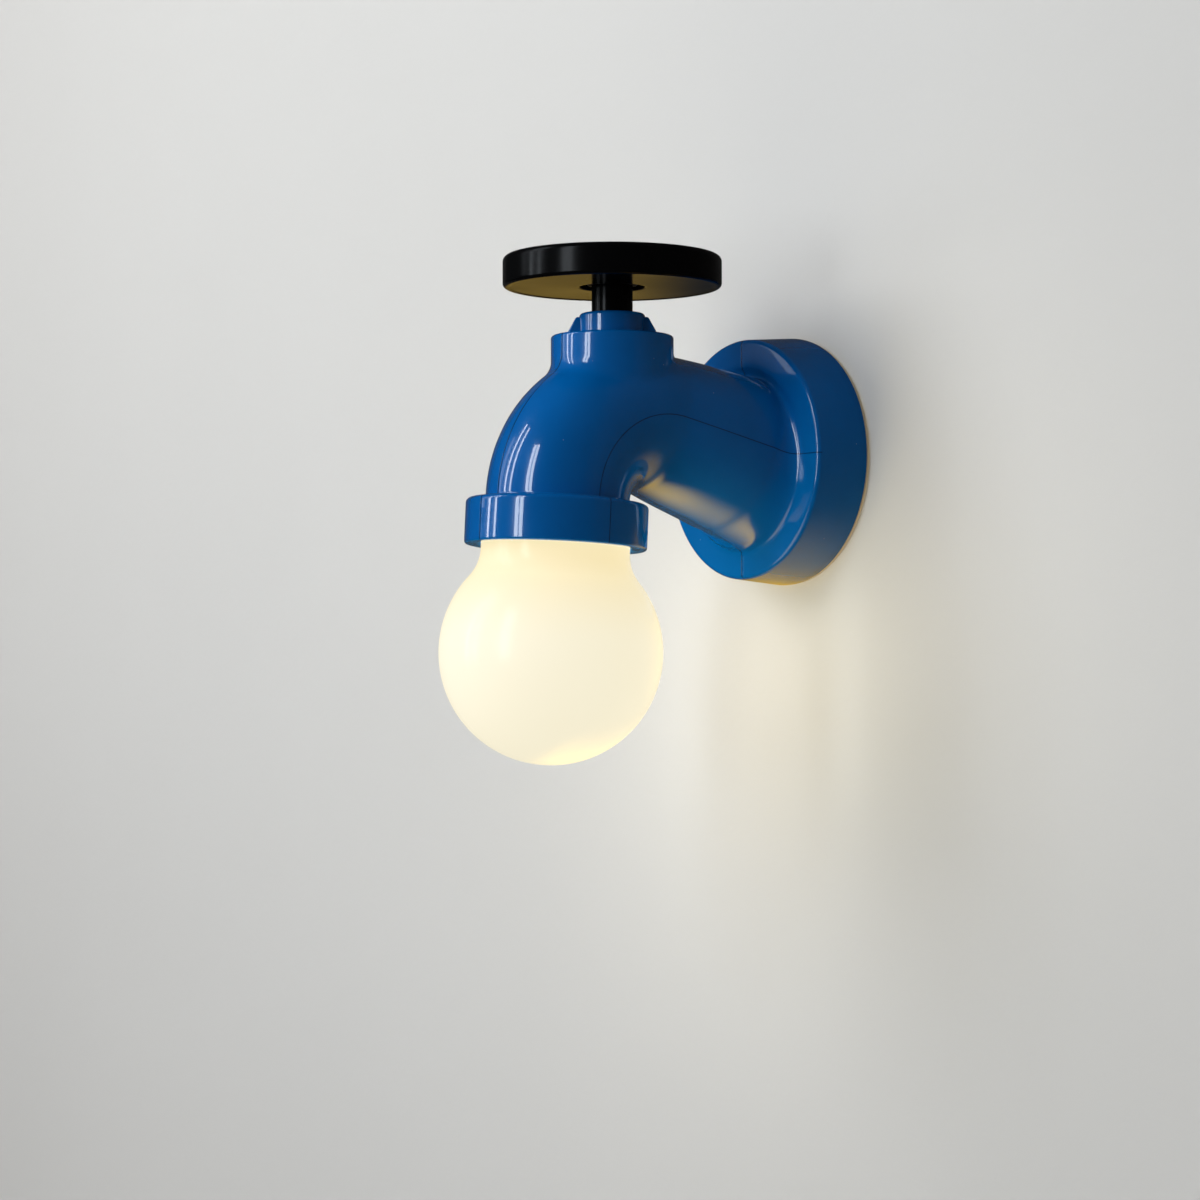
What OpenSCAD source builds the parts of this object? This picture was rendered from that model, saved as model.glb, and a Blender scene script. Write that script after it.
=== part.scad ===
// Faucet wall light: a moulded tap-shaped body on a round canopy, a handwheel
// dimmer on the neck and an opal screw-in globe under the spout.
// Millimetres. The wall is the plane Y = 0, the light projects towards -Y, +Z is up,
// and the origin is the middle of the canopy's back.

/* [Canopy] */
// Diameter of the canopy at the wall
canopy_d = 114; // [112:1:140]
// Distance from the wall to the canopy's front face
canopy_depth = 28; // [24:1:34]
// Amount by which the rim's radius shrinks towards the front
canopy_draft = 2.4; // [1:0.2:4]
// Radius of the rounded front edge
canopy_round = 3.5; // [2:0.5:6]
// Wall thickness of the canopy
canopy_wall = 3; // [2:0.5:4]
// Radius of the blend between the canopy's face and the pipe
face_blend = 6.5; // [4:0.5:8]
// Thickness of the foam seal at the wall
seal_t = 1.5; // [1:0.5:3]

/* [Pipe] */
// Outer radius of the pipe at the elbow and of the spout
pipe_r = 31.5; // [30.5:0.5:33.5]
// Extra radius of the pipe where it meets the canopy
pipe_flare = 6.5; // [3:0.5:7.5]
// Wall thickness of the pipe, elbow and spout
pipe_wall = 3; // [2:0.5:4]
// Climb of the pipe away from the wall, in degrees
pipe_rise = 14.5; // [6:0.5:16]
// Distance from the wall to the point where the pipe and spout axes cross
spout_reach = 128; // [122:0.5:140]
// Radius of the elbow's centre line
elbow_r = 39; // [36:0.5:41]

/* [Spout] */
// Forward lean of the spout, in degrees
spout_lean = 3; // [0:1:6]
// Length of the spout axis from the crossing point to the mouth
spout_len = 69; // [66:0.5:84]
// Outer radius of the collar
collar_r = 40; // [38:0.5:46]
// Height of the collar
collar_h = 20; // [17:0.5:26]
// Radius of the collar's rounded edges
collar_round = 2; // [1:0.5:3]

/* [Neck] */
// Distance of the neck and handwheel axis from the wall
neck_reach = 101; // [96:1:108]
// Outer radius of the neck
neck_r = 27.2; // [26:0.2:29]
// Height of the neck's top above the canopy's middle
neck_top = 51.5; // [50.5:0.5:60]
// Radius of the neck's rounded top edge
neck_round = 2; // [1:0.5:3]
// Radius of the blend where the neck meets the elbow
neck_blend = 12; // [6:1:14]

/* [Bonnet] */
// Radius of the bonnet's round boss
bonnet_r = 14.6; // [13:0.2:17]
// Height of the bonnet above the neck
bonnet_h = 10; // [9.5:0.5:16]
// Reach of the two bonnet wings at their foot
wing_foot = 22.5; // [20:0.5:25]
// Reach of the two bonnet wings at their top
wing_top = 17.5; // [16:0.5:20]
// Thickness of the two bonnet wings
wing_w = 11; // [6:1:16]

/* [Handwheel] */
// Radius of the handwheel
wheel_r = 48.6; // [44:0.2:56]
// Thickness of the handwheel
wheel_h = 12; // [11:0.5:20]
// Radius of the handwheel's rounded edges
wheel_round = 3; // [1:0.5:5]
// Gap between the bonnet's top and the handwheel's underside
wheel_gap = 12.5; // [9:0.5:18]
// Radius of the stem
stem_r = 9.1; // [9:0.1:11]

/* [Globe] */
// Outer radius of the globe
globe_r = 49; // [46:0.2:56]
// Drop of the globe's middle below the spout's mouth
globe_drop = 46; // [43:0.5:54]
// Thickness of the glass
glass_t = 2.5; // [2:0.25:3.5]
// Outer radius of the glass neck
glass_neck_r = 32.6; // [31:0.2:33.4]
// Depth of the glass neck inside the collar
glass_grip = 12; // [9:0.5:15]
// Thickness of the silicone ring above the glass
gasket_t = 2; // [1.5:0.5:3]

/* [Lamp] */
// Outer radius of the lamp holder
holder_r = 13.5; // [12.5:0.5:16]
// Length of the lamp holder
holder_len = 34; // [30:1:40]
// Overall length of the lamp bulb
bulb_len = 78; // [70:1:82]
// Radius of the lamp bulb's dome
bulb_r = 22.5; // [20:0.5:25]

/* [Fittings] */
// Hole spacing of the wall bracket's slots
slot_spacing = 60; // [50:1:70]
// Width of the wall bracket's slots
slot_w = 4.5; // [4:0.5:6]
// End-to-end length of the wall bracket's slots
slot_len = 12; // [8:1:16]
// Thickness of the wall bracket's steel
bracket_t = 1.5; // [1.2:0.1:2]
// Radius of the cable hole in the rubber grommet
cable_r = 5; // [4:0.5:6]
// Outer diameter of an insulated wire
wire_d = 2.2; // [1.8:0.1:3]

/* [Hidden] */
$fn = 64;

// Overlap that joins two solids of one piece
lap = 0.5;
// Running clearance between a shaft and its bore
run_gap = 0.05;
// Clearance between curved faces that slide or screw past each other
slide_gap = 0.3;
// Clearance of a screw or tube in the hole of its own body
seat_gap = 0.05;

// Places along the pipe, elbow and spout
corner_z = (spout_reach - canopy_depth) * tan(pipe_rise);
elbow_turn = 90 + pipe_rise - spout_lean;
elbow_tail = elbow_r * tan(elbow_turn / 2);
pipe_len = (spout_reach - canopy_depth) / cos(pipe_rise) - elbow_tail;
pipe_back = (pipe_r + pipe_flare) * sin(pipe_rise) + canopy_wall + 2;
pipe_taper = pipe_flare / pipe_len;
bore_r = pipe_r - pipe_wall;
pipe_seam = 0.04;
pipe_lap = 2;

// Canopy
canopy_r = canopy_d / 2;
rim_inner_r = canopy_r - canopy_wall;
face_r = canopy_r - canopy_draft;
blend_tilt = 24;
blend_foot_r = pipe_r + pipe_flare + 0.5 + face_blend * cos(blend_tilt);
blend_reach = 24;
seal_w = 2.6;

// Neck
neck_low = corner_z - 8;
neck_blend_z = neck_top - 9;
blend_cos = neck_blend * cos(45);
plate_z = neck_top - pipe_wall;
neck_bore_r = neck_r - pipe_wall;

// Dimmer: a threaded bush through the neck's plate and the bonnet
bush_r = 4.95;
shaft_r = 3;
housing_r = 12.5;
housing_h = 11;
tag_drop = 3;
nut_h = 3;
nut_r = 8.05;
lock_t = 0.8;
well_r = nut_r + 0.5;
bonnet_top = neck_top + bonnet_h;
well_floor = bonnet_top - nut_h - lock_t - 2;
bush_top = well_floor + lock_t + nut_h + 0.7;

tag_x = 7;
tag_l = 4;
tag_z = plate_z - housing_h - tag_drop;
bonnet_edge = 1.5;
bonnet_foot = 1.6;
wing_step = 1.8;

// Handwheel and stem
stem_low = bonnet_top + slide_gap;
wheel_low = bonnet_top + wheel_gap;
wheel_high = wheel_low + wheel_h;
recess_r = 14.5;
recess_h = 1.2;
washer_r = 11.3;
spigot_r = 4;
spigot_h = 9;
set_screw_r = 2;
set_screw_z = stem_low + 4.5;

// Collar, socket and globe, as heights along the spout's axis
mouth_w = -spout_len;
collar_top_w = mouth_w + collar_h;
socket_r = glass_neck_r + slide_gap;
rim_w = mouth_w + glass_grip;
shoulder_w = rim_w + gasket_t;
globe_w = mouth_w - globe_drop;
glass_bore_r = glass_neck_r - glass_t;
shoulder_round = 6;

// Lamp holder and bulb, as heights along the spout's axis
holder_out = 9;
holder_low_w = mouth_w - holder_out;
holder_high_w = holder_low_w + holder_len;
strap_t = 1.5;
strap_top_w = holder_high_w + strap_t;
strap_half = bore_r - 1.5;
strap_w = 12;
strap_screw_r = 1.45;
strap_screw_len = 9;
strap_screw_head_r = 2.75;
strap_screw_head_h = 2;
strap_screw_hole = 10;
boss_x = strap_half - 4;
boss_r = 3.4;
boss_h = 14;
nipple_r = 5;
nipple_bore_r = 3.6;
nipple_up = 6;
nipple_down = 6;
cap_r = 6.95;
shell_inner_r = 7.2;
shell_t = 0.6;
cap_len = 22.5;
cap_high_w = holder_low_w + cap_len;
tip_h = 1;
tip_r = 2.4;
contact_h = 1.5;
contact_r = 3;
pocket_w = cap_high_w + tip_h + contact_h;
bulb_low_w = cap_high_w + tip_h - bulb_len;
dome_w = bulb_low_w + bulb_r;
dome_cut = 13.5;
dome_cut_r = sqrt(bulb_r * bulb_r - dome_cut * dome_cut);
dome_t = 1.5;

// Wall bracket, screws and terminals
bracket_r = rim_inner_r - canopy_draft;
bracket_w = 56;
tab_w = 16;
tab_depth = 13;
screw_y = 8;
screw_r = 1.95;
screw_head_r = 3.6;
screw_head_h = 1.5;
rim_at_screw = canopy_r - canopy_draft * screw_y / canopy_depth;
screw_sink = 0.3;
screw_seat = rim_at_screw - screw_head_h - screw_sink;
screw_thread = 5;
hex_r = 1.2;
canopy_screw_well = 10;
grommet_wall = 2.5;
grommet_lip = 2;
grommet_hole_r = cable_r + grommet_wall;
grommet_flange_r = grommet_hole_r + grommet_lip;
grommet_flange_t = 1.5;
block_x = -20;
block_l = 16;
block_pitch = 9;
block_d = 13;
block_wire_y = 5;
clamp_r = 1.5;
clamp_len = 4;
clamp_gap = 0.1;
way_r = 1.9;
screw_knob_h = 2.4;
earth_x = 21;
earth_z = -16;
tag_t = 0.8;
barrel_r = 1.6;
barrel_l = 5;
ear_high = bracket_r;

// Routes of the inner wires: from the terminal block to the dimmer, the lamp holder and earth
function spout_point(x, y, w) = [
    x, y * cos(spout_lean) + w * sin(spout_lean) - spout_reach,
    corner_z - y * sin(spout_lean) + w * cos(spout_lean)
];
wire_steps = 3;
block_y = -bracket_t - block_wire_y;
wire_x = 1.5;
wire_turn_w = -20;
wire_drop_w = -30;
wire_start = block_x + block_l / 2 - 2;
live_route = [
    [wire_start, block_y, block_pitch], [-8, block_y, block_pitch], [-5, -10, 9], [-4, -18, 10],
    [-4, -34, 12], [-5, -52, 15], [-6, -70, 17], [-7, -86, 19], [-7, -96, 22],
    [-tag_x, -neck_reach, tag_z - 6], [-tag_x, -neck_reach, tag_z]
];
neutral_route = [
    [wire_start, block_y, 0], [-8, block_y, 0], [-4, -10, -1], [-2, -18, -2], [-2, -34, 0],
    [-2, -52, 3], [-2, -70, 6], [-2, -90, 9], [-2, -108, 11], [-2, -120, 8],
    spout_point(-wire_x, 1, wire_turn_w), spout_point(-wire_x, 0, wire_drop_w),
    spout_point(-wire_x, 0, holder_high_w), spout_point(-wire_x, 0, pocket_w + 1)
];
switched_route = [
    [tag_x, -neck_reach, tag_z], [tag_x, -neck_reach, tag_z - 6], [7, -106, 22], [6, -114, 16],
    [3, -122, 9], spout_point(wire_x, 1, wire_turn_w), spout_point(wire_x, 0, wire_drop_w),
    spout_point(wire_x, 0, holder_high_w), spout_point(wire_x, 0, pocket_w)
];
earth_route = [
    [wire_start, block_y, -block_pitch], [-8, block_y, -block_pitch], [-2, block_y, -12],
    [5, -5, earth_z], [earth_x - screw_head_r - barrel_l, -bracket_t - barrel_r, earth_z],
    [earth_x - screw_head_r - 1, -bracket_t - barrel_r, earth_z]
];

// Frames: the wall's outward normal, the pipe's axis, the spout's axis, the neck's axis
module from_wall(out = 0) {
    translate([0, -out, 0]) rotate([90, 0, 0]) children();
}

module on_pipe() {
    from_wall(canopy_depth) rotate([-pipe_rise, 0, 0]) children();
}

module on_spout() {
    translate([0, -spout_reach, corner_z]) rotate([-spout_lean, 0, 0]) children();
}

module on_neck(z = 0) {
    translate([0, -neck_reach, z]) children();
}

// A plain ring or tube from height low to height high
module ring(outer, inner, low, high) {
    difference() {
        translate([0, 0, low]) cylinder(r = outer, h = high - low);
        translate([0, 0, low - 1]) cylinder(r = inner, h = high - low + 2);
    }
}

// Half profile of a disc from low to high with its edges rounded
module disc_profile(r, low, high, top_round = 0, foot_round = 0) {
    difference() {
        translate([0, low]) square([r, high - low]);
        if (top_round > 0) translate([r - top_round, high - top_round]) square(top_round + 1);
        if (foot_round > 0) translate([r - foot_round, low - 1]) square([foot_round + 1, foot_round + 1]);
    }
    if (top_round > 0) translate([r - top_round, high - top_round]) circle(top_round);
    if (foot_round > 0) translate([r - foot_round, low + foot_round]) circle(foot_round);
}

// The elbow between the pipe and the spout
module elbow(r) {
    on_spout() translate([0, elbow_r, -elbow_tail]) rotate([90, 0, -90])
        rotate_extrude(angle = elbow_turn) translate([elbow_r, 0]) circle(r);
}

// The pipe with its flare, from inside the canopy to just inside the elbow
module pipe(wall) {
    end_r = pipe_r + pipe_seam - wall - pipe_taper * pipe_lap;
    on_pipe() translate([0, 0, -pipe_back])
        cylinder(r1 = end_r + pipe_taper * (pipe_back + pipe_len + pipe_lap), r2 = end_r,
            h = pipe_back + pipe_len + pipe_lap);
}

// The canopy's drafted cup with a rounded front edge
module canopy_solid() {
    round_foot_r = face_r + canopy_draft * canopy_round / canopy_depth;
    from_wall() rotate_extrude() {
        polygon([
            [0, seal_t], [canopy_r - canopy_draft * seal_t / canopy_depth, seal_t],
            [round_foot_r, canopy_depth - canopy_round], [0, canopy_depth - canopy_round]
        ]);
        disc_profile(round_foot_r, canopy_depth - 2 * canopy_round, canopy_depth, canopy_round);
    }
}

module canopy_hollow() {
    from_wall(-1) cylinder(r1 = rim_inner_r, r2 = rim_inner_r - canopy_draft,
        h = canopy_depth - canopy_wall + 1);
}

// Concave blend from the canopy's face up the pipe
module face_blend_solid() {
    end_r = blend_foot_r - face_blend * cos(blend_tilt);
    end_h = face_blend * (1 - sin(blend_tilt));
    from_wall(canopy_depth) rotate_extrude() difference() {
        polygon([
            [0, -1], [blend_foot_r, -1], [blend_foot_r, 0], [end_r, end_h],
            [end_r - (blend_reach - end_h) * tan(blend_tilt), blend_reach], [0, blend_reach]
        ]);
        translate([blend_foot_r, face_blend]) circle(face_blend);
    }
}

// The neck with its rounded top edge and the blend at its foot
module neck_solid() {
    foot_r = neck_r + neck_blend - blend_cos;
    on_neck() rotate_extrude() {
        difference() {
            polygon([
                [0, neck_low], [foot_r, neck_low], [foot_r, neck_blend_z - blend_cos],
                [neck_r, neck_blend_z], [0, neck_blend_z]
            ]);
            translate([neck_r + neck_blend, neck_blend_z]) circle(neck_blend);
        }
        disc_profile(neck_r, neck_blend_z - lap, neck_top, neck_round);
    }
}

module collar_solid() {
    on_spout() rotate_extrude()
        disc_profile(collar_r, mouth_w, collar_top_w, collar_round, collar_round / 2);
}

module spout_solid(r, low_w) {
    on_spout() translate([0, 0, low_w]) cylinder(r = r, h = -elbow_tail - low_w);
}

// One boss for a strap screw, joined to the spout's wall
module strap_boss() {
    translate([boss_x, 0, strap_top_w]) cylinder(r = boss_r, h = boss_h);
    translate([boss_x, -boss_r, strap_top_w]) cube([bore_r + pipe_wall / 2 - boss_x, 2 * boss_r, boss_h]);
}

module faucet_body() color([0.02, 0.33, 0.62]) {
    difference() {
        union() {
            canopy_solid();
            face_blend_solid();
            pipe(0);
            elbow(pipe_r);
            spout_solid(pipe_r, mouth_w + 1);
            collar_solid();
            neck_solid();
        }
        difference() {
            union() {
                canopy_hollow();
                pipe(pipe_wall);
                elbow(bore_r);
                spout_solid(bore_r, mouth_w - 1);
                on_neck(neck_low) cylinder(r = neck_bore_r, h = plate_z - neck_low);
            }
            on_spout() {
                strap_boss();
                mirror([1, 0, 0]) strap_boss();
            }
        }
        on_spout() translate([0, 0, mouth_w - 1]) cylinder(r = socket_r, h = shoulder_w - mouth_w + 1);
        on_neck(plate_z - 1) cylinder(r = bush_r + 0.2, h = pipe_wall + 2);
        for (side = [-1, 1]) {
            on_spout() translate([side * boss_x, 0, strap_top_w - 1]) cylinder(r = strap_screw_r + seat_gap, h = strap_screw_hole);
            translate([0, -screw_y, 0]) rotate([90 - side * 90, 0, 0]) {
                cylinder(r = screw_r + 0.15, h = canopy_r + 2);
                translate([0, 0, screw_seat]) cylinder(r = screw_head_r + 0.2, h = canopy_screw_well);
            }
        }
    }
}

// Bonnet: round boss with a concave foot, two gusset wings and a well for the nut
module bonnet_cap() color([0.02, 0.33, 0.62]) on_neck() difference() {
    union() {
        rotate_extrude() {
            disc_profile(bonnet_r, neck_top, bonnet_top, bonnet_edge);
            difference() {
                translate([0, neck_top]) square(bonnet_r + bonnet_foot);
                translate([0, neck_top + bonnet_foot]) square(bonnet_r + bonnet_foot);
                translate([bonnet_r + bonnet_foot, neck_top + bonnet_foot]) circle(bonnet_foot);
            }
        }
        rotate([90, 0, 90]) translate([0, neck_top, -wing_w / 2]) linear_extrude(wing_w) polygon([
            [-wing_foot, 0], [wing_foot, 0], [wing_top, bonnet_h - wing_step],
            [-wing_top, bonnet_h - wing_step]
        ]);
    }
    translate([0, 0, neck_top - 1]) cylinder(r = bush_r + 0.2, h = bonnet_h + 2);
    translate([0, 0, well_floor]) cylinder(r = well_r, h = bonnet_h);
}

// Handwheel disc with rounded edges, a recess for the washer and a blind hole
module handwheel() color([0.03, 0.03, 0.03]) on_neck() difference() {
    rotate_extrude() disc_profile(wheel_r, wheel_low, wheel_high, wheel_round, wheel_round);
    translate([0, 0, wheel_low - 1]) cylinder(r = recess_r, h = recess_h + 1);
    translate([0, 0, wheel_low]) cylinder(r = spigot_r + seat_gap, h = spigot_h + 1);
}

// Stem with the spigot that carries the handwheel and the bore for the dimmer's shaft
module wheel_stem() color([0.02, 0.02, 0.02]) on_neck() difference() {
    union() {
        translate([0, 0, stem_low]) cylinder(r = stem_r, h = wheel_low - stem_low);
        translate([0, 0, wheel_low - lap]) cylinder(r = spigot_r, h = spigot_h + lap);
    }
    translate([0, 0, stem_low - 1]) cylinder(r = shaft_r + seat_gap, h = wheel_low - stem_low);
    translate([0, 0, set_screw_z]) rotate([-90, 0, 0]) cylinder(r = set_screw_r + seat_gap, h = stem_r + 1);
}

module wheel_washer() color([0.08, 0.08, 0.08]) on_neck()
    ring(washer_r, spigot_r + seat_gap, wheel_low, wheel_low + recess_h);

// Grub screw that clamps the stem on the dimmer's shaft, on the wall side
module stem_set_screw() color([0.3, 0.3, 0.3]) on_neck(set_screw_z) rotate([-90, 0, 0]) difference() {
    translate([0, 0, shaft_r + seat_gap]) cylinder(r = set_screw_r, h = stem_r - shaft_r - 0.8);
    translate([0, 0, stem_r - 2.2]) cylinder(r = 1, h = 3, $fn = 6);
}

// Dimmer housing under the neck's plate, with its threaded bush and two terminal tabs
module dimmer_housing() color([0.75, 0.75, 0.72]) on_neck() difference() {
    union() {
        translate([0, 0, plate_z - housing_h]) cylinder(r = housing_r, h = housing_h);
        translate([0, 0, plate_z - lap]) cylinder(r = bush_r, h = bush_top - plate_z + lap);
        for (side = [-1, 1]) translate([side * tag_x - tag_l / 2, -tag_l / 2, plate_z - housing_h - tag_drop])
            cube([tag_l, tag_l, tag_drop + lap]);
    }
    translate([0, 0, plate_z - housing_h + 2]) cylinder(r = shaft_r + run_gap, h = neck_top + bonnet_h);
}

module dimmer_shaft() color([0.8, 0.8, 0.8]) on_neck()
    translate([0, 0, plate_z - housing_h + 2 + slide_gap])
        cylinder(r = shaft_r, h = wheel_low - 1.3 - (plate_z - housing_h + 2 + slide_gap));

module dimmer_lock_washer() color([0.8, 0.8, 0.8]) on_neck()
    ring(nut_r - 0.2, bush_r + seat_gap, well_floor, well_floor + lock_t);

module dimmer_nut() color([0.8, 0.75, 0.5]) on_neck(well_floor + lock_t) difference() {
    cylinder(r = nut_r, h = nut_h, $fn = 6);
    translate([0, 0, -1]) cylinder(r = bush_r + seat_gap, h = nut_h + 2);
}

// Half profile of the globe's outside, or of its inside when shrunk by the glass
module globe_profile(shrink) {
    neck_edge = glass_neck_r - shrink;
    round_r = shoulder_round + shrink;
    reach = globe_r + shoulder_round;
    side = glass_neck_r + shoulder_round;
    lift = sqrt(reach * reach - side * side);
    share = (globe_r - shrink) / reach;
    intersection() {
        translate([0, globe_w]) circle(globe_r - shrink);
        translate([0, globe_w - globe_r]) square([globe_r, 2 * globe_r]);
    }
    translate([0, globe_w + lift]) square([neck_edge, rim_w + shrink - globe_w - lift]);
    difference() {
        polygon([
            [0, globe_w], [side * share, globe_w + lift * share], [neck_edge, globe_w + lift],
            [0, globe_w + lift]
        ]);
        translate([side, globe_w + lift]) circle(round_r);
    }
}

module glass_globe() color([1, 0.97, 0.88]) on_spout() rotate_extrude() difference() {
    globe_profile(0);
    globe_profile(glass_t);
    translate([-1, rim_w]) square([globe_r, glass_t + 1]);
}

module globe_gasket() color([0.9, 0.9, 0.88]) on_spout()
    ring(glass_neck_r, glass_bore_r, rim_w, shoulder_w);

// Steel strap across the spout that carries the lamp holder
module holder_strap() color([0.7, 0.7, 0.7]) on_spout() difference() {
    translate([-strap_half, -strap_w / 2, holder_high_w]) cube([2 * strap_half, strap_w, strap_t]);
    translate([0, 0, holder_high_w - 1]) cylinder(r = nipple_r + seat_gap, h = strap_t + 2);
    for (side = [-1, 1]) translate([side * boss_x, 0, holder_high_w - 1]) cylinder(r = 1.7, h = strap_t + 2);
}

module strap_screws() color([0.75, 0.75, 0.75]) on_spout() for (side = [-1, 1])
    translate([side * boss_x, 0, holder_high_w]) {
        translate([0, 0, -strap_screw_head_h]) cylinder(r = strap_screw_head_r, h = strap_screw_head_h);
        translate([0, 0, -lap]) cylinder(r = strap_screw_r, h = strap_screw_len + lap);
    }

module holder_nipple() color([0.7, 0.7, 0.65]) on_spout()
    ring(nipple_r, nipple_bore_r, holder_high_w - nipple_down, strap_top_w + nipple_up);

module nipple_nut() color([0.8, 0.75, 0.5]) on_spout() translate([0, 0, strap_top_w]) difference() {
    cylinder(r = nut_r, h = nut_h, $fn = 6);
    translate([0, 0, -1]) cylinder(r = nipple_r + seat_gap, h = nut_h + 2);
}

// Lamp holder: a moulded cup with a domed shoulder, a bore for the screw shell and a wire chamber
module lamp_holder() color([0.93, 0.92, 0.88]) on_spout() difference() {
    rotate_extrude() disc_profile(holder_r, holder_low_w, holder_high_w, 4, 1);
    translate([0, 0, holder_high_w - nipple_down - 0.5]) cylinder(r = nipple_r + seat_gap, h = nipple_down + 2);
    translate([0, 0, holder_low_w - 1])
        cylinder(r = shell_inner_r + shell_t + seat_gap, h = pocket_w - holder_low_w + 1);
    translate([wire_x, 0, pocket_w - 1]) cylinder(r = wire_d / 2 + seat_gap, h = holder_high_w - pocket_w);
    translate([-wire_x, 0, pocket_w + 1]) cylinder(r = wire_d / 2 + seat_gap, h = holder_high_w - pocket_w - 2);
}

module contact_shell() color([0.85, 0.7, 0.35]) on_spout()
    ring(shell_inner_r + shell_t, shell_inner_r, holder_low_w + 1.5, pocket_w - contact_h);

module centre_contact() color([0.85, 0.7, 0.35]) on_spout()
    translate([0, 0, pocket_w - contact_h]) cylinder(r = contact_r, h = contact_h);

module bulb_tip() color([0.6, 0.6, 0.6]) on_spout()
    translate([0, 0, cap_high_w]) cylinder(r = tip_r, h = tip_h);

module bulb_cap() color([0.8, 0.8, 0.78]) on_spout() rotate_extrude()
    disc_profile(cap_r, holder_low_w - lap, cap_high_w, 2);

module bulb_housing() color([0.95, 0.95, 0.93]) on_spout()
    translate([0, 0, dome_w + dome_cut])
        cylinder(r1 = dome_cut_r, r2 = cap_r + 1, h = holder_low_w - lap - dome_w - dome_cut);

module bulb_dome() color([1, 1, 0.95]) on_spout() difference() {
    translate([0, 0, dome_w]) sphere(bulb_r);
    translate([0, 0, dome_w]) sphere(bulb_r - dome_t);
    translate([0, 0, dome_w + dome_cut]) cylinder(r = bulb_r, h = bulb_r);
}

// Pale foam ring between the canopy's rim and the wall
module wall_seal() color([0.9, 0.86, 0.76]) from_wall()
    ring(canopy_r - 0.4, canopy_r - 0.4 - seal_w, 0, seal_t);

// Steel bracket: a plate with two slots and a cable hole, and two bent ears for the canopy screws
module wall_bracket() color([0.72, 0.72, 0.7]) difference() {
    union() {
        from_wall() linear_extrude(bracket_t) difference() {
            intersection() {
                circle(bracket_r);
                square([bracket_w, 2 * bracket_r], center = true);
            }
            circle(grommet_hole_r);
            for (side = [-1, 1]) translate([0, side * slot_spacing / 2]) {
                square([slot_w, slot_len - slot_w], center = true);
                for (end = [-1, 1]) translate([0, end * (slot_len - slot_w) / 2]) circle(slot_w / 2);
            }
            translate([earth_x, earth_z]) circle(screw_r + seat_gap);
        }
        for (side = [0, 1]) mirror([0, 0, side]) translate([-tab_w / 2, -tab_depth, ear_high - bracket_t])
            cube([tab_w, tab_depth, bracket_t]);
    }
    translate([0, -screw_y, -canopy_r]) cylinder(r = screw_r + seat_gap, h = canopy_d);
}

module canopy_screws() color([0.8, 0.8, 0.8]) for (side = [0, 1]) mirror([0, 0, side])
    translate([0, -screw_y, 0]) difference() {
        union() {
            translate([0, 0, ear_high - screw_thread]) cylinder(r = screw_r, h = screw_seat + lap - ear_high + screw_thread);
            translate([0, 0, screw_seat]) cylinder(r = screw_head_r, h = screw_head_h);
        }
        translate([0, 0, rim_at_screw - hex_r]) cylinder(r = hex_r, h = 2 * hex_r, $fn = 6);
    }

// Rubber bush in the bracket's cable hole
module cable_grommet() color([0.05, 0.05, 0.05]) from_wall() difference() {
    union() {
        cylinder(r = grommet_hole_r - seat_gap, h = bracket_t + lap);
        translate([0, 0, bracket_t]) cylinder(r = grommet_flange_r, h = grommet_flange_t);
    }
    translate([0, 0, -1]) cylinder(r = cable_r, h = bracket_t + grommet_flange_t + 2);
}

// Three-way terminal block on the bracket
module terminal_block() color([0.95, 0.95, 0.93]) difference() {
    for (way = [-1, 0, 1]) translate([block_x - block_l / 2, -bracket_t - block_d, way * block_pitch - block_pitch / 2])
        cube([block_l, block_d, block_pitch + (way < 1 ? 0.01 : 0)]);
    for (way = [-1, 0, 1]) {
        translate([block_x - block_l, -bracket_t - block_wire_y, way * block_pitch]) rotate([0, 90, 0])
            cylinder(r = way_r, h = 2 * block_l);
        for (side = [-1, 1])
            translate([block_x + side * block_l / 4, -bracket_t - block_wire_y, way * block_pitch])
                rotate([90, 0, 0]) cylinder(r = clamp_r + clamp_gap, h = block_d);
    }
}

module terminal_screws() color([0.8, 0.8, 0.8])
    for (way = [-1, 0, 1], side = [-1, 1])
        translate([block_x + side * block_l / 4, -bracket_t - block_wire_y - way_r - 2 * clamp_gap, way * block_pitch])
            rotate([90, 0, 0]) cylinder(r = clamp_r, h = clamp_len);

module earth_screw() color([0.85, 0.75, 0.4]) translate([earth_x, 0, earth_z]) from_wall() {
    cylinder(r = screw_r, h = bracket_t + tag_t + lap);
    translate([0, 0, bracket_t + tag_t]) cylinder(r = screw_head_r, h = screw_knob_h);
}

module earth_tag() color([0.85, 0.7, 0.35]) {
    translate([earth_x, 0, earth_z]) from_wall()
        ring(screw_head_r + 0.6, screw_r + seat_gap, bracket_t, bracket_t + tag_t);
    translate([earth_x - screw_head_r - barrel_l, -bracket_t - barrel_r, earth_z]) rotate([0, 90, 0])
        ring(barrel_r, wire_d / 2 + seat_gap, 0, barrel_l);
}

// Unit vector, and the normals carried along a route from one point to the next
function unit(v) = v / norm(v);
function tangent(p, i) = unit(p[min(i + 1, len(p) - 1)] - p[max(i - 1, 0)]);
function square_to(v, t) = unit(v - (v * t) * t);
function normals(p, i, last) = i == len(p) ? [] :
    let (n = square_to(last, tangent(p, i))) concat([n], normals(p, i + 1, n));

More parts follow.
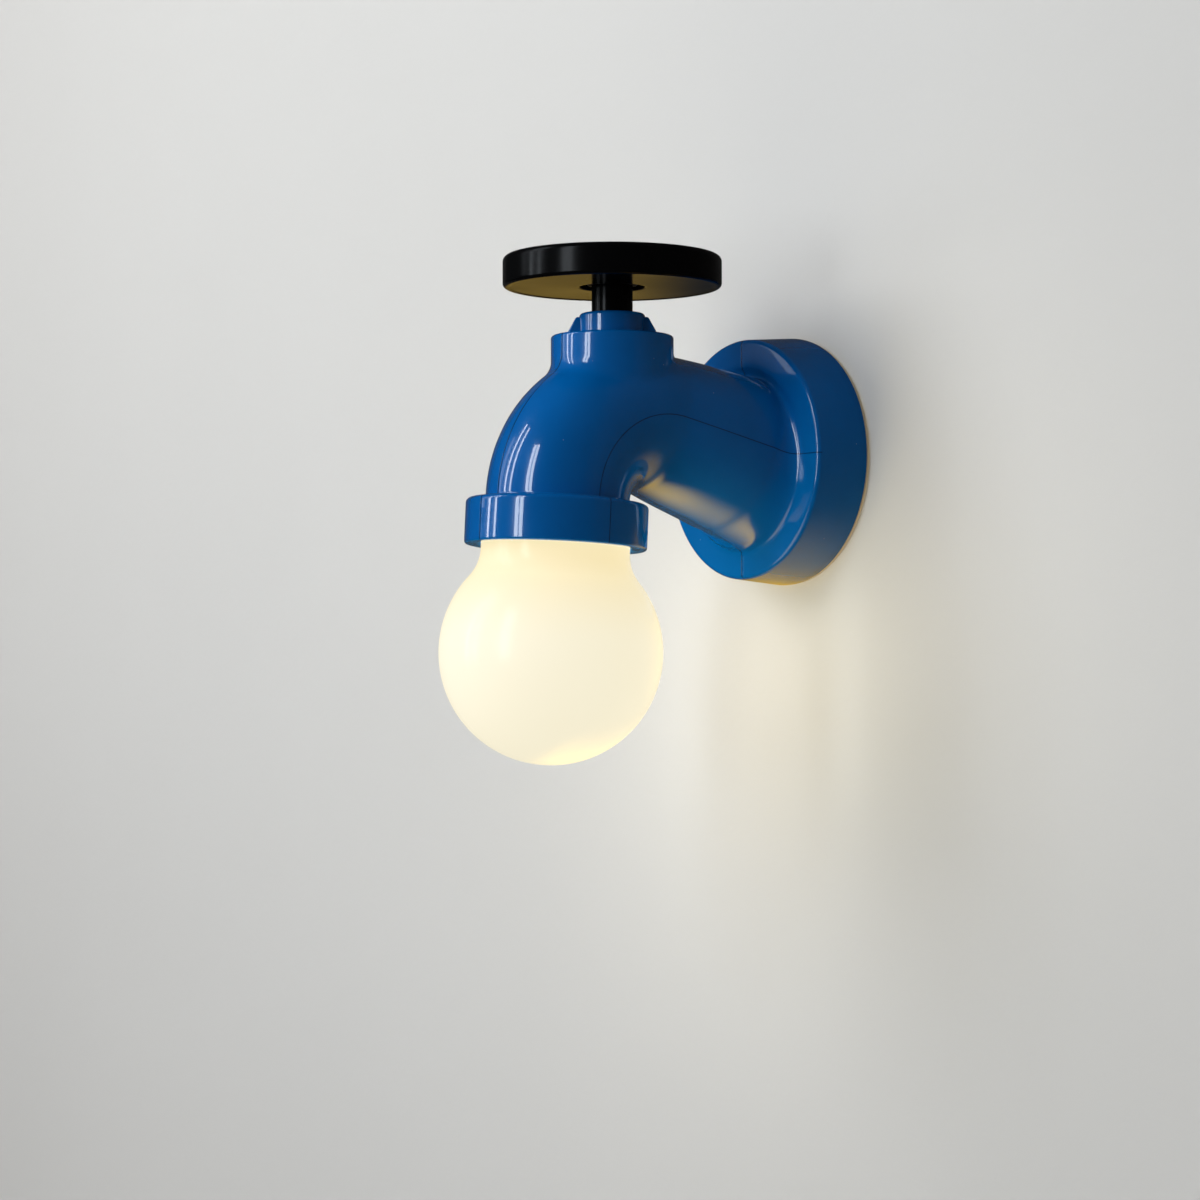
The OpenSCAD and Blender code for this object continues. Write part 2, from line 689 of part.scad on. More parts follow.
// A point between two route points on a smooth curve through all of them
function between(a, b, c, d, t) =
    0.5 * (2 * b + (c - a) * t + (2 * a - 5 * b + 4 * c - d) * t * t + (3 * b - a - 3 * c + d) * t * t * t);
function smooth_route(p, steps) = concat(
    [for (i = [0 : len(p) - 2], k = [0 : steps - 1])
        between(p[max(i - 1, 0)], p[i], p[i + 1], p[min(i + 2, len(p) - 1)], k / steps)],
    [p[len(p) - 1]]
);

// A round tube swept along a route
module swept_tube(route, d, sides = 8) {
    p = smooth_route(route, wire_steps);
    n = normals(p, 0, [0, 0.3, 1]);
    rings = len(p);
    points = [for (i = [0 : rings - 1], k = [0 : sides - 1])
        let (t = tangent(p, i), m = cross(t, n[i]), a = 360 * k / sides)
            p[i] + d / 2 * (cos(a) * n[i] + sin(a) * m)];
    walls = [for (i = [0 : rings - 2], k = [0 : sides - 1])
        let (a = i * sides + k, b = i * sides + (k + 1) % sides) [b, a, a + sides, b + sides]];
    ends = [[for (k = [0 : sides - 1]) k], [for (k = [sides - 1 : -1 : 0]) (rings - 1) * sides + k]];
    polyhedron(points, concat(walls, ends));
}

module live_wire() color([0.45, 0.25, 0.12]) swept_tube(live_route, wire_d);
module switched_wire() color([0.1, 0.1, 0.1]) swept_tube(switched_route, wire_d);
module neutral_wire() color([0.15, 0.35, 0.75]) swept_tube(neutral_route, wire_d);
module earth_wire() color([0.3, 0.65, 0.2]) swept_tube(earth_route, wire_d);

faucet_body();
bonnet_cap();
handwheel();
wheel_stem();
wheel_washer();
stem_set_screw();
dimmer_housing();
dimmer_shaft();
dimmer_lock_washer();
dimmer_nut();
glass_globe();
globe_gasket();
holder_strap();
strap_screws();
holder_nipple();
nipple_nut();
lamp_holder();
contact_shell();
centre_contact();
bulb_tip();
bulb_cap();
bulb_housing();
bulb_dome();
wall_seal();
wall_bracket();
canopy_screws();
cable_grommet();
terminal_block();
terminal_screws();
earth_screw();
earth_tag();
live_wire();
switched_wire();
neutral_wire();
earth_wire();
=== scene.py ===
import math

import bmesh
import bpy
from bpy.props import FloatProperty, FloatVectorProperty, IntProperty, PointerProperty
from mathutils import Matrix, Vector


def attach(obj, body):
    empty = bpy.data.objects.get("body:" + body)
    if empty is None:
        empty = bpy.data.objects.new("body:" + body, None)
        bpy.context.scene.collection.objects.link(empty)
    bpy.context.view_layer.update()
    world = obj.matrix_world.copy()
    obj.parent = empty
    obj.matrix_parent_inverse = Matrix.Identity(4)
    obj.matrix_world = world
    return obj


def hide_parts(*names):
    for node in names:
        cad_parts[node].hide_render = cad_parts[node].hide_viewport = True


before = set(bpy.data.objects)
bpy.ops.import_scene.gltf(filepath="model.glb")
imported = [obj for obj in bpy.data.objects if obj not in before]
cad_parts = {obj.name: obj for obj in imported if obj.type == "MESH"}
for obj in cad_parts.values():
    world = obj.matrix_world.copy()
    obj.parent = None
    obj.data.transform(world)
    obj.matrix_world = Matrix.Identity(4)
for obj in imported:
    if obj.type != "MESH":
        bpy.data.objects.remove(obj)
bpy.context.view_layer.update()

bl_info = {
    "name": "Faucet Wall Light",
    "version": (1, 0, 0),
    "blender": (4, 5, 0),
    "location": "3D View > Sidebar > Faucet Light",
    "description": "Models and finishes the tap-shaped wall light round its construction model",
    "category": "Add Mesh",
}

SEAL_THICKNESS = 0.0015
NECK_HOLE = 0.00515


# Properties

def length_prop(label, text, metres):
    return FloatProperty(name=label, description=text, default=metres, unit="LENGTH")


def angle_prop(label, text, degrees):
    return FloatProperty(
        name=label, description=text, default=math.radians(degrees), subtype="ANGLE")


def colour_prop(label, text, rgb):
    return FloatVectorProperty(
        name=label, description=text, default=rgb, subtype="COLOR", size=3, min=0, max=1)


class FaucetSizes(bpy.types.PropertyGroup):
    """Sizes of the moulded body and of the pieces turned on its axes"""
    canopy_radius: length_prop("Canopy radius", "Radius of the canopy's rim at the wall", 0.057)
    canopy_depth: length_prop("Canopy depth", "Distance from the wall to the canopy's face", 0.028)
    canopy_draft: length_prop("Canopy draft", "How much the rim narrows to the front", 0.0024)
    canopy_edge: length_prop("Canopy edge", "Radius of the canopy's front edge", 0.0021)
    face_blend: length_prop("Face blend", "Radius of the blend between face and pipe", 0.0065)
    pipe_radius: length_prop("Pipe radius", "Outer radius of the elbow and spout", 0.0315)
    pipe_flare: length_prop("Pipe flare", "Extra radius of the pipe at the canopy", 0.0065)
    pipe_rise: angle_prop("Pipe rise", "Climb of the pipe away from the wall", 14.5)
    spout_reach: length_prop("Spout reach", "Distance from the wall to the axes' corner", 0.128)
    spout_lean: angle_prop("Spout lean", "Forward lean of the spout", 3)
    spout_length: length_prop("Spout length", "Spout's axis from the corner to the mouth", 0.069)
    elbow_radius: length_prop("Elbow radius", "Radius of the elbow's centre line", 0.039)
    collar_radius: length_prop("Collar radius", "Outer radius of the collar", 0.040)
    collar_height: length_prop("Collar height", "Height of the collar", 0.020)
    collar_edge: length_prop("Collar edge", "Radius of the collar's upper edge", 0.0021)
    wall: length_prop("Wall", "Wall thickness of the moulding", 0.003)
    neck_reach: length_prop("Neck reach", "Distance of the neck's axis from the wall", 0.101)
    neck_radius: length_prop("Neck radius", "Outer radius of the neck", 0.0272)
    neck_top: length_prop("Neck top", "Height of the neck's top", 0.0515)
    neck_edge: length_prop("Neck edge", "Radius of the neck's upper edge", 0.0013)
    neck_fillet: length_prop("Neck fillet", "Largest radius of the neck's foot blend", 0.012)
    bonnet_radius: length_prop("Bonnet radius", "Radius of the bonnet's boss", 0.0146)
    bonnet_height: length_prop("Bonnet height", "Height of the bonnet's boss", 0.010)
    wing_turn: angle_prop("Wing turn", "Turn of the bonnet's wings from the middle plane", 36)
    wing_foot: length_prop("Wing foot", "Reach of a wing at its foot", 0.0205)
    wing_top: length_prop("Wing top", "Reach of a wing at its top", 0.016)
    wing_width: length_prop("Wing width", "Thickness of a wing", 0.008)
    wing_height: length_prop("Wing height", "Height of a wing", 0.0082)
    wheel_radius: length_prop("Handwheel radius", "Radius of the handwheel", 0.0486)
    wheel_height: length_prop("Handwheel height", "Thickness of the handwheel's core", 0.012)
    wheel_swell: length_prop("Handwheel swell", "Extra of both faces over the core", 0.001)
    stem_length: length_prop("Stem length", "Stem between bonnet and handwheel", 0.0125)
    globe_radius: length_prop("Globe radius", "Outer radius of the globe", 0.049)
    globe_drop: length_prop("Globe drop", "Drop of the globe's middle below the mouth", 0.046)
    glass_neck_radius: length_prop("Glass neck radius", "Outer radius of the glass neck", 0.0326)
    glass_grip: length_prop("Glass grip", "Depth of the glass neck in the collar", 0.012)
    glass_shoulder: length_prop("Glass shoulder", "Radius between globe and glass neck", 0.019)
    glass_wall: length_prop("Glass wall", "Thickness of the glass", 0.0025)
    sides: IntProperty(
        name="Sides", description="Number of sides of the turned and swept forms",
        default=144, min=24, max=256)


class FaucetColours(bpy.types.PropertyGroup):
    """Main colours of the wall light and its surroundings"""
    body: colour_prop("Body blue", "Colour of the glossy moulding", (0.0, 0.098, 0.34))
    handle: colour_prop(
        "Handle black", "Colour of the handwheel and stem", (0.0022, 0.0022, 0.0024))
    opal: colour_prop("Opal glass", "Colour of the glass in plain light", (0.22, 0.21, 0.19))
    glow: colour_prop("Glow", "Colour of the lit globe", (1.0, 0.935, 0.715))
    neck_glow: colour_prop("Neck glow", "Colour of the lit glass neck", (1.0, 0.84, 0.48))
    glow_strength: FloatProperty(
        name="Glow strength", description="Strength of the glow as the camera sees it",
        default=0.86, min=0)
    bounce: colour_prop(
        "Bounce", "Colour of the wall and floor as the pieces see them", (0.34, 0.31, 0.28))
    backdrop: colour_prop("Backdrop", "Colour of the wall and floor", (0.62, 0.605, 0.58))


# Frames: the axes that the pieces are turned on

def corner_height(s):
    return (s.spout_reach - s.canopy_depth) * math.tan(s.pipe_rise)


def spout_point(s, w, y=0.0):
    """Point in the middle plane: w up the spout's axis, y across it towards the wall"""
    c, n = math.cos(s.spout_lean), math.sin(s.spout_lean)
    return Vector((0, y * c + w * n - s.spout_reach, corner_height(s) - y * n + w * c))


def elbow_data(s):
    """The elbow's whole turn, the length it takes off both axes, and its middle"""
    turn = math.pi / 2 + s.pipe_rise - s.spout_lean
    tail = s.elbow_radius * math.tan(turn / 2)
    return turn, tail, spout_point(s, -tail, s.elbow_radius)


def arc(cx, cy, r, start, end, steps):
    """Points on an arc of a profile, angles in degrees"""
    pts = []
    for i in range(steps + 1):
        a = math.radians(start + (end - start) * i / steps)
        pts.append((cx + r * math.cos(a), cy + r * math.sin(a)))
    return pts


# Modelling by hand: start a circle, extrude it ring by ring, close it

def start_clean():
    if bpy.context.mode != "OBJECT":
        bpy.ops.object.mode_set(mode="OBJECT")
    bpy.ops.object.select_all(action="DESELECT")


def ring_matrix(centre, tilt):
    """Ring across the direction (0, -cos tilt, sin tilt)"""
    return Matrix.Translation(centre) @ Matrix.Rotation(math.pi / 2 - tilt, 4, "X")


def ring_chain(name, rings, sides=144, close="caps", smooth=40):
    """Extrudes a circle through rings of (centre, tilt, radius) and closes the ends"""
    start_clean()
    centre, tilt, radius = rings[0]
    bpy.ops.mesh.primitive_circle_add(vertices=sides, radius=radius, fill_type="NOTHING")
    piece = bpy.context.object
    piece.name = piece.data.name = name
    piece.matrix_world = ring_matrix(centre, tilt)
    bpy.ops.object.transform_apply(location=True, rotation=True, scale=True)
    bpy.ops.object.mode_set(mode="EDIT")
    bpy.ops.mesh.select_all(action="SELECT")
    for k in range(1, len(rings)):
        here, turn, size = rings[k]
        bpy.ops.mesh.extrude_edges_move(
            TRANSFORM_OT_translate={"value": here - centre, "orient_type": "GLOBAL"})
        if abs(turn - tilt) > 1e-7:
            bpy.ops.transform.rotate(
                value=(turn - tilt), orient_axis="X", orient_type="GLOBAL", center_override=here)
        if abs(size - radius) > 1e-9:
            factor = size / radius
            bpy.ops.transform.resize(
                value=(factor, factor, factor), orient_type="GLOBAL", center_override=here)
        centre, tilt, radius = here, turn, size
    if close == "loop":
        mesh = bmesh.from_edit_mesh(piece.data)
        mesh.edges.ensure_lookup_table()
        bpy.ops.mesh.select_all(action="DESELECT")
        for edge in mesh.edges:
            if len(edge.link_faces) == 1:
                edge.select = True
        bmesh.update_edit_mesh(piece.data)
        bpy.ops.mesh.bridge_edge_loops()
    else:
        close_ends(piece)
    bpy.ops.mesh.select_all(action="SELECT")
    bpy.ops.mesh.normals_make_consistent(inside=False)
    bpy.ops.mesh.select_all(action="DESELECT")
    bpy.ops.object.mode_set(mode="OBJECT")
    bpy.ops.object.shade_smooth_by_angle(angle=math.radians(smooth))
    return piece


def close_ends(piece):
    """Shrinks each open end to its pole"""
    for _ in range(2):
        mesh = bmesh.from_edit_mesh(piece.data)
        open_edges = [e for e in mesh.edges if len(e.link_faces) == 1]
        if not open_edges:
            return
        bpy.ops.mesh.select_all(action="DESELECT")
        todo, seen = [open_edges[0]], set()
        while todo:
            edge = todo.pop()
            if edge in seen:
                continue
            seen.add(edge)
            for vert in edge.verts:
                todo.extend(e for e in vert.link_edges
                            if len(e.link_faces) == 1 and e not in seen)
        for edge in seen:
            edge.select = True
        bmesh.update_edit_mesh(piece.data)
        bpy.ops.mesh.extrude_edges_move()
        bpy.ops.mesh.merge(type="CENTER")


def turned(name, profile, centre, tilt, sides=144, close="caps", smooth=40):
    """Turns a profile of (radius, distance along the axis) on the axis through centre"""
    axis = Vector((0, -math.cos(tilt), math.sin(tilt)))
    rings = [(centre + axis * d, tilt, max(r, 1e-5)) for r, d in profile]
    return ring_chain(name, rings, sides, close, smooth)


def bevelled(piece, width, segments=3, angle=30):
    """Rounds the sharp edges with an applied Bevel modifier"""
    bpy.context.view_layer.objects.active = piece
    mod = piece.modifiers.new("Round", "BEVEL")
    mod.width = width
    mod.segments = segments
    mod.limit_method = "ANGLE"
    mod.angle_limit = math.radians(angle)
    bpy.ops.object.modifier_apply(modifier=mod.name)


def joined(name, parts):
    start_clean()
    for part in parts:
        part.select_set(True)
    bpy.context.view_layer.objects.active = parts[0]
    bpy.ops.object.join()
    piece = bpy.context.object
    piece.name = piece.data.name = name
    return piece


def finish_piece(piece, body, material, nodes):
    piece.data.materials.clear()
    piece.data.materials.append(material)
    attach(piece, body)
    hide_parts(*nodes)


# Shader node groups

def new_group(name, inputs, outputs):
    tree = bpy.data.node_groups.new(name, "ShaderNodeTree")
    for label, kind, value in inputs:
        sock = tree.interface.new_socket(name=label, in_out="INPUT", socket_type=kind)
        sock.default_value = value
    for label, kind in outputs:
        tree.interface.new_socket(name=label, in_out="OUTPUT", socket_type=kind)
    return tree, tree.nodes.new("NodeGroupInput"), tree.nodes.new("NodeGroupOutput")


def math_node(tree, kind, a, b=None, clamp=False):
    node = tree.nodes.new("ShaderNodeMath")
    node.operation = kind
    node.use_clamp = clamp
    for i, v in enumerate((a, b)):
        if v is None:
            continue
        if isinstance(v, (int, float)):
            node.inputs[i].default_value = v
        else:
            tree.links.new(v, node.inputs[i])
    return node.outputs[0]


def feed(tree, node, **values):
    """Sets or links a node's inputs, named with _ for a space"""
    for key, v in values.items():
        sock = node.inputs[key.replace("_", " ")]
        if isinstance(v, (int, float)):
            sock.default_value = v
        else:
            tree.links.new(v, sock)


def times(tree, a, b):
    return math_node(tree, "MULTIPLY", a, b)


def noise_node(tree, vector, scale, detail=3.0, rough=0.5):
    node = tree.nodes.new("ShaderNodeTexNoise")
    feed(tree, node, Vector=vector, Scale=scale, Detail=detail, Roughness=rough)
    return node.outputs["Fac"]


def range_node(tree, value, a, b, c, d):
    """Smooth step: a to b becomes c to d"""
    node = tree.nodes.new("ShaderNodeMapRange")
    node.interpolation_type = "SMOOTHSTEP"
    feed(tree, node, Value=value, From_Min=a, From_Max=b, To_Min=c, To_Max=d)
    return node.outputs["Result"]


def mix_colour(tree, factor, a, b):
    node = tree.nodes.new("ShaderNodeMix")
    node.data_type = "RGBA"
    node.clamp_factor = True
    sockets = (node.inputs[0], node.inputs[6], node.inputs[7])
    for sock, v in zip(sockets, (factor, a, b)):
        if isinstance(v, (int, float)):
            sock.default_value = v
        elif isinstance(v, (tuple, list)) or hasattr(v, "r"):
            sock.default_value = (v[0], v[1], v[2], 1)
        else:
            tree.links.new(v, sock)
    return node.outputs[2]


def split_xyz(tree, vector):
    node = tree.nodes.new("ShaderNodeSeparateXYZ")
    tree.links.new(vector, node.inputs[0])
    return node.outputs


def build_skin_group():
    """Moulded skin: slow sink marks, fine orange peel and specks of dust"""
    tree, gin, gout = new_group(
        "Moulded Skin",
        [("Vector", "NodeSocketVector", (0, 0, 0)), ("Peel Scale", "NodeSocketFloat", 900.0),
         ("Peel Depth", "NodeSocketFloat", 0.2), ("Wave Depth", "NodeSocketFloat", 0.6)],
        [("Height", "NodeSocketFloat"), ("Tone", "NodeSocketFloat"), ("Dust", "NodeSocketFloat")])
    vec = gin.outputs["Vector"]
    wave = times(tree, noise_node(tree, vec, 32.0, 1.0, 0.4), gin.outputs["Wave Depth"])
    peel = noise_node(tree, vec, gin.outputs["Peel Scale"], 2.0, 0.5)
    peel = times(tree, peel, gin.outputs["Peel Depth"])
    tone = range_node(tree, noise_node(tree, vec, 18.0, 4.0, 0.55), 0.3, 0.7, 0.0, 1.0)
    cells = tree.nodes.new("ShaderNodeTexVoronoi")
    feed(tree, cells, Vector=vec, Scale=210.0)
    speck = range_node(tree, cells.outputs["Distance"], 0.03, 0.07, 1.0, 0.0)
    patch = range_node(tree, noise_node(tree, vec, 60.0, 2.0), 0.58, 0.68, 0.0, 1.0)
    feed(tree, gout, Height=math_node(tree, "ADD", wave, peel), Tone=tone,
         Dust=times(tree, speck, patch))
    return tree


def build_line_group():
    """Fine line where a distance is nought"""
    tree, gin, gout = new_group(
        "Parting Line",
        [("Distance", "NodeSocketFloat", 0.0), ("Width", "NodeSocketFloat", 0.0002)],
        [("Mask", "NodeSocketFloat"), ("Lip", "NodeSocketFloat")])
    far = math_node(tree, "ABSOLUTE", gin.outputs["Distance"])
    wide = times(tree, gin.outputs["Width"], 2.6)
    feed(tree, gout, Mask=range_node(tree, far, 0.0, gin.outputs["Width"], 1.0, 0.0),
         Lip=range_node(tree, far, gin.outputs["Width"], wide, 1.0, 0.0))
    return tree


def build_metal_group():
    """Rolled or plated metal: grain, spangle and dull patches"""
    tree, gin, gout = new_group(
        "Plated Metal",
        [("Vector", "NodeSocketVector", (0, 0, 0)), ("Grain", "NodeSocketFloat", 900.0)],
        [("Height", "NodeSocketFloat"), ("Tone", "NodeSocketFloat"), ("Dull", "NodeSocketFloat")])
    vec = gin.outputs["Vector"]
    stretch = tree.nodes.new("ShaderNodeMapping")
    stretch.inputs["Scale"].default_value = (1.0, 1.0, 0.05)
    tree.links.new(vec, stretch.inputs["Vector"])
    grain = noise_node(tree, stretch.outputs[0], gin.outputs["Grain"], 2.0)
    patches = noise_node(tree, vec, 45.0, 4.0, 0.6)
    feed(tree, gout, Height=grain, Tone=noise_node(tree, vec, 140.0, 3.0),
         Dull=range_node(tree, patches, 0.42, 0.66, 0.0, 1.0))
    return tree


def group_node(tree, group, **values):
    node = tree.nodes.new("ShaderNodeGroup")
    node.node_tree = group
    feed(tree, node, **values)
    return node.outputs


def new_material(name):
    mat = bpy.data.materials.new(name)
    mat.use_nodes = True
    tree = mat.node_tree
    shader = tree.nodes["Principled BSDF"]
    place = tree.nodes.new("ShaderNodeTexCoord").outputs["Object"]
    return mat, tree, shader, place


def bump(tree, shader, height, distance, strength):
    node = tree.nodes.new("ShaderNodeBump")
    feed(tree, node, Strength=strength, Distance=distance, Height=height)
    feed(tree, shader, Normal=node.outputs["Normal"])


def shade(colour, factor):
    return tuple(min(1.0, c * factor) for c in colour)


# Parting lines: half widths, how dark the painted shade in the groove is, height of lip and
# groove, fall away from the line
MIDDLE_SEAM, SIDE_SEAM = 0.00065, 0.0004
SEAM_SHADE, SEAM_LIP, SEAM_GROOVE, SEAM_DRAFT = 0.12, 5.0, 9.0, 1600.0
DUST, SOFT_DUST = (0.55, 0.55, 0.53), (0.5, 0.48, 0.45)


def glossy_plastic(name, groups, colour, rough, coat, lines=False, peel=(900.0, 0.2, 0.6),
                   level=0.5):
    """Moulded plastic with orange peel, faint tone changes, dust, and parting lines darkened with
    painted shade in their grooves
    """
    mat, tree, shader, place = new_material(name)
    skin = group_node(tree, groups["skin"], Vector=place, Peel_Scale=peel[0],
                      Peel_Depth=peel[1], Wave_Depth=peel[2])
    base = mix_colour(tree, skin["Tone"], shade(colour, 0.93), shade(colour, 1.07))
    base = mix_colour(tree, times(tree, skin["Dust"], 0.22), base, DUST)
    height = skin["Height"]
    roughness = range_node(tree, skin["Tone"], 0.0, 1.0, rough * 0.85, rough * 1.2)
    roughness = math_node(tree, "ADD", roughness, times(tree, skin["Dust"], 0.3))
    feed(tree, shader, Specular_IOR_Level=level, Coat_Weight=coat, Coat_Roughness=0.03)
    if lines:
        axis = split_xyz(tree, place)
        middle = group_node(tree, groups["line"], Distance=axis[0], Width=MIDDLE_SEAM)
        side = tree.nodes.new("ShaderNodeAttribute")
        side.attribute_name = "side_offset"
        flank = group_node(tree, groups["line"], Distance=side.outputs["Fac"], Width=SIDE_SEAM)
        line = math_node(tree, "MAXIMUM", middle["Mask"], flank["Mask"])
        lip = math_node(tree, "MAXIMUM", middle["Lip"], flank["Lip"])
        # Darkens the colour along the parting lines: painted shade standing in for the shade in
        # the groove
        dark = shade(colour, SEAM_SHADE)
        base = mix_colour(tree, times(tree, line, 0.9), base, dark)
        raised, sunk = times(tree, lip, SEAM_LIP), times(tree, line, SEAM_GROOVE)
        groove = math_node(tree, "SUBTRACT", raised, sunk)
        draft = times(tree, math_node(tree, "ABSOLUTE", axis[0]), -SEAM_DRAFT)
        height = math_node(tree, "ADD", height, math_node(tree, "ADD", groove, draft))
    feed(tree, shader, Base_Color=base, Roughness=roughness)
    bump(tree, shader, height, 0.00002, 0.6)
    return mat


def plated_metal(name, groups, colour, dark, rough, grain=900.0):
    """Plated or drawn metal with grain and dull patches"""
    mat, tree, shader, place = new_material(name)
    metal = group_node(tree, groups["metal"], Vector=place, Grain=grain)
    base = mix_colour(tree, metal["Tone"], dark, colour)
    dull = times(tree, metal["Dull"], 0.35)
    base = mix_colour(tree, dull, base, shade(dark, 0.8))
    feed(tree, shader, Base_Color=base, Metallic=1.0,
         Roughness=range_node(tree, metal["Dull"], 0.0, 1.0, rough, rough + 0.18))
    bump(tree, shader, metal["Height"], 0.00002, 0.35)
    return mat


# The opal glass as it lights the room, and as the skin mirrors it
GLOBE_LIGHTS, GLOBE_MIRRORED = 5.2, 1.1


def opal_material(groups, c, s):
    """Opal glass lit from inside: creamier at the neck, with a soft skin"""
    mat, tree, shader, place = new_material("Opal glass, lit")
    axis = split_xyz(tree, place)
    mouth = spout_point(s, -s.spout_length).z
    near_neck = range_node(tree, axis[2], mouth - 0.045, mouth + 0.002, 0.0, 1.0)
    cloud = noise_node(tree, place, 26.0, 2.0, 0.5)
    clouding = times(tree, cloud, 0.12)
    amount = math_node(tree, "ADD", near_neck, clouding, clamp=True)
    glow = mix_colour(tree, amount, c.glow, c.neck_glow)
    milk = mix_colour(tree, cloud, shade(c.opal, 0.97), c.opal)
    light = tree.nodes.new("ShaderNodeLightPath").outputs
    power = range_node(tree, light["Is Glossy Ray"], 0.0, 1.0, GLOBE_LIGHTS, GLOBE_MIRRORED)
    seen = times(tree, light["Is Camera Ray"], GLOBE_LIGHTS - c.glow_strength)
    feed(tree, shader, Base_Color=milk, Emission_Color=glow,
         Emission_Strength=math_node(tree, "SUBTRACT", power, seen),
         Roughness=range_node(tree, cloud, 0.2, 0.8, 0.20, 0.26),
         Specular_IOR_Level=0.16, Coat_Weight=0.03, Coat_Roughness=0.05)
    skin = group_node(tree, groups["skin"], Vector=place, Peel_Scale=500.0, Peel_Depth=0.1,
                      Wave_Depth=0.5)
    bump(tree, shader, skin["Height"], 0.00003, 0.4)
    return mat


def soft_material(name, groups, colour, rough, pore, depth):
    """Foam, rubber or silicone with pores"""
    mat, tree, shader, place = new_material(name)
    skin = group_node(tree, groups["skin"], Vector=place, Peel_Scale=pore, Peel_Depth=1.0,
                      Wave_Depth=0.3)
    base = mix_colour(tree, skin["Tone"], shade(colour, 0.88), shade(colour, 1.06))
    base = mix_colour(tree, times(tree, skin["Dust"], 0.3), base, SOFT_DUST)
    feed(tree, shader, Base_Color=base,
         Roughness=range_node(tree, skin["Tone"], 0.0, 1.0, rough, min(1.0, rough + 0.15)))
    bump(tree, shader, skin["Height"], 0.00006, depth)
    return mat


def striped_insulation(groups):
    """Green insulation with yellow stripes"""
    stripe_pitch = 0.0022
    mat, tree, shader, place = new_material("Insulation, green and yellow")
    across = times(tree, split_xyz(tree, place)[0], 2 * math.pi / stripe_pitch)
    stripe = range_node(tree, math_node(tree, "SINE", across), 0.35, 0.5, 0.0, 1.0)
    skin = group_node(tree, groups["skin"], Vector=place, Peel_Scale=1500.0)
    base = mix_colour(tree, stripe, (0.02, 0.20, 0.03), (0.75, 0.58, 0.02))
    worn = times(tree, skin["Tone"], 0.2)
    base = mix_colour(tree, worn, base, (0.05, 0.10, 0.03))
    feed(tree, shader, Base_Color=base,
         Roughness=range_node(tree, skin["Tone"], 0.0, 1.0, 0.35, 0.5))
    bump(tree, shader, skin["Height"], 0.00003, 0.5)
    return mat


FINISHES = {}


# Soft finishes: name, colour, roughness, scale of the pores and their depth
SOFT_FINISHES = {
    "washer": ("Dark washer", (0.012, 0.012, 0.012), 0.5, 1400.0, 0.5),
    "silicone": ("White silicone", (0.74, 0.74, 0.71), 0.45, 1400.0, 0.5),
    "foam": ("Pale foam", (0.72, 0.64, 0.48), 0.8, 900.0, 1.0),
    "rubber": ("Black rubber", (0.02, 0.02, 0.02), 0.6, 1400.0, 0.5),
    "brown": ("Insulation, brown", (0.14, 0.05, 0.02), 0.4, 1600.0, 0.5),
    "black": ("Insulation, black", (0.012, 0.012, 0.012), 0.4, 1600.0, 0.5),
    "blue": ("Insulation, blue", (0.02, 0.10, 0.42), 0.4, 1600.0, 0.5),
}


class FAUCET_OT_finishes(bpy.types.Operator):
    """Makes the node groups and the materials of every piece"""
    bl_idname = "faucet.finishes"
    bl_label = "Finishes"

    def execute(self, context):
        c = context.scene.faucet_colours
        s = context.scene.faucet_sizes
        groups = {"skin": build_skin_group(), "line": build_line_group(),
                  "metal": build_metal_group()}
        FINISHES["body"] = glossy_plastic(
            "Glossy blue moulding", groups, tuple(c.body), 0.2, 1.0, lines=True, level=0.2)
        FINISHES["bonnet"] = glossy_plastic(
            "Glossy blue bonnet", groups, tuple(c.body), 0.2, 1.0, level=0.2)
        FINISHES["handle"] = glossy_plastic(
            "Black satin handle", groups, tuple(c.handle), 0.17, 0.0, peel=(700.0, 0.3, 0.6),
            level=0.09)
        FINISHES["white"] = glossy_plastic(
            "White plastic", groups, (0.74, 0.74, 0.70), 0.38, 0.1, peel=(1100.0, 0.6, 0.3))
        FINISHES["frosted"] = glossy_plastic(
            "Frosted bulb", groups, (0.86, 0.84, 0.76), 0.45, 0.0, peel=(1600.0, 0.6, 0.2))
        FINISHES["opal"] = opal_material(groups, c, s)
        FINISHES["zinc"] = plated_metal(
            "Zinc-plated steel", groups, (0.62, 0.63, 0.65), (0.42, 0.44, 0.47), 0.26)
        FINISHES["brass"] = plated_metal(
            "Brass", groups, (0.80, 0.58, 0.24), (0.56, 0.38, 0.14), 0.24, grain=600.0)
        FINISHES["green"] = striped_insulation(groups)
        for key, (name, *values) in SOFT_FINISHES.items():
            FINISHES[key] = soft_material(name, groups, *values)
        return {"FINISHED"}


# Moulded body: rings from the wall out to the mouth, and back inside

def wall_ring(r, y):
    """Ring across the canopy's axis at a distance from the wall"""
    return Vector((0, -y, 0)), 0.0, r


def rim_radius(s, y):
    return s.canopy_radius - s.canopy_draft * y / s.canopy_depth


def pipe_axis(s):
    return Vector((0, -math.cos(s.pipe_rise), math.sin(s.pipe_rise)))


def pipe_length(s):
    return (s.spout_reach - s.canopy_depth) / math.cos(s.pipe_rise) - elbow_data(s)[1]


def pipe_radius(s, run):
    """Outer radius of the pipe, which flares towards the canopy with a slight swell"""
    left = max(0.0, 1 - run / pipe_length(s))
    return s.pipe_radius + s.pipe_flare * (left + 0.03 * math.sin(2 * math.pi * left))


def pipe_ring(s, run, inset=0.0):
    root = Vector((0, -s.canopy_depth, 0))
    return root + pipe_axis(s) * run, s.pipe_rise, pipe_radius(s, run) - inset


def elbow_ring(s, radius, step, steps):
    turn, _, middle = elbow_data(s)
    tilt = s.pipe_rise - turn * step / steps
    return middle + elbow_offset(s, tilt), tilt, radius


def spout_ring(s, r, w):
    """Ring across the spout, w above the corner of the axes"""
    return spout_point(s, w), s.spout_lean - math.pi / 2, r


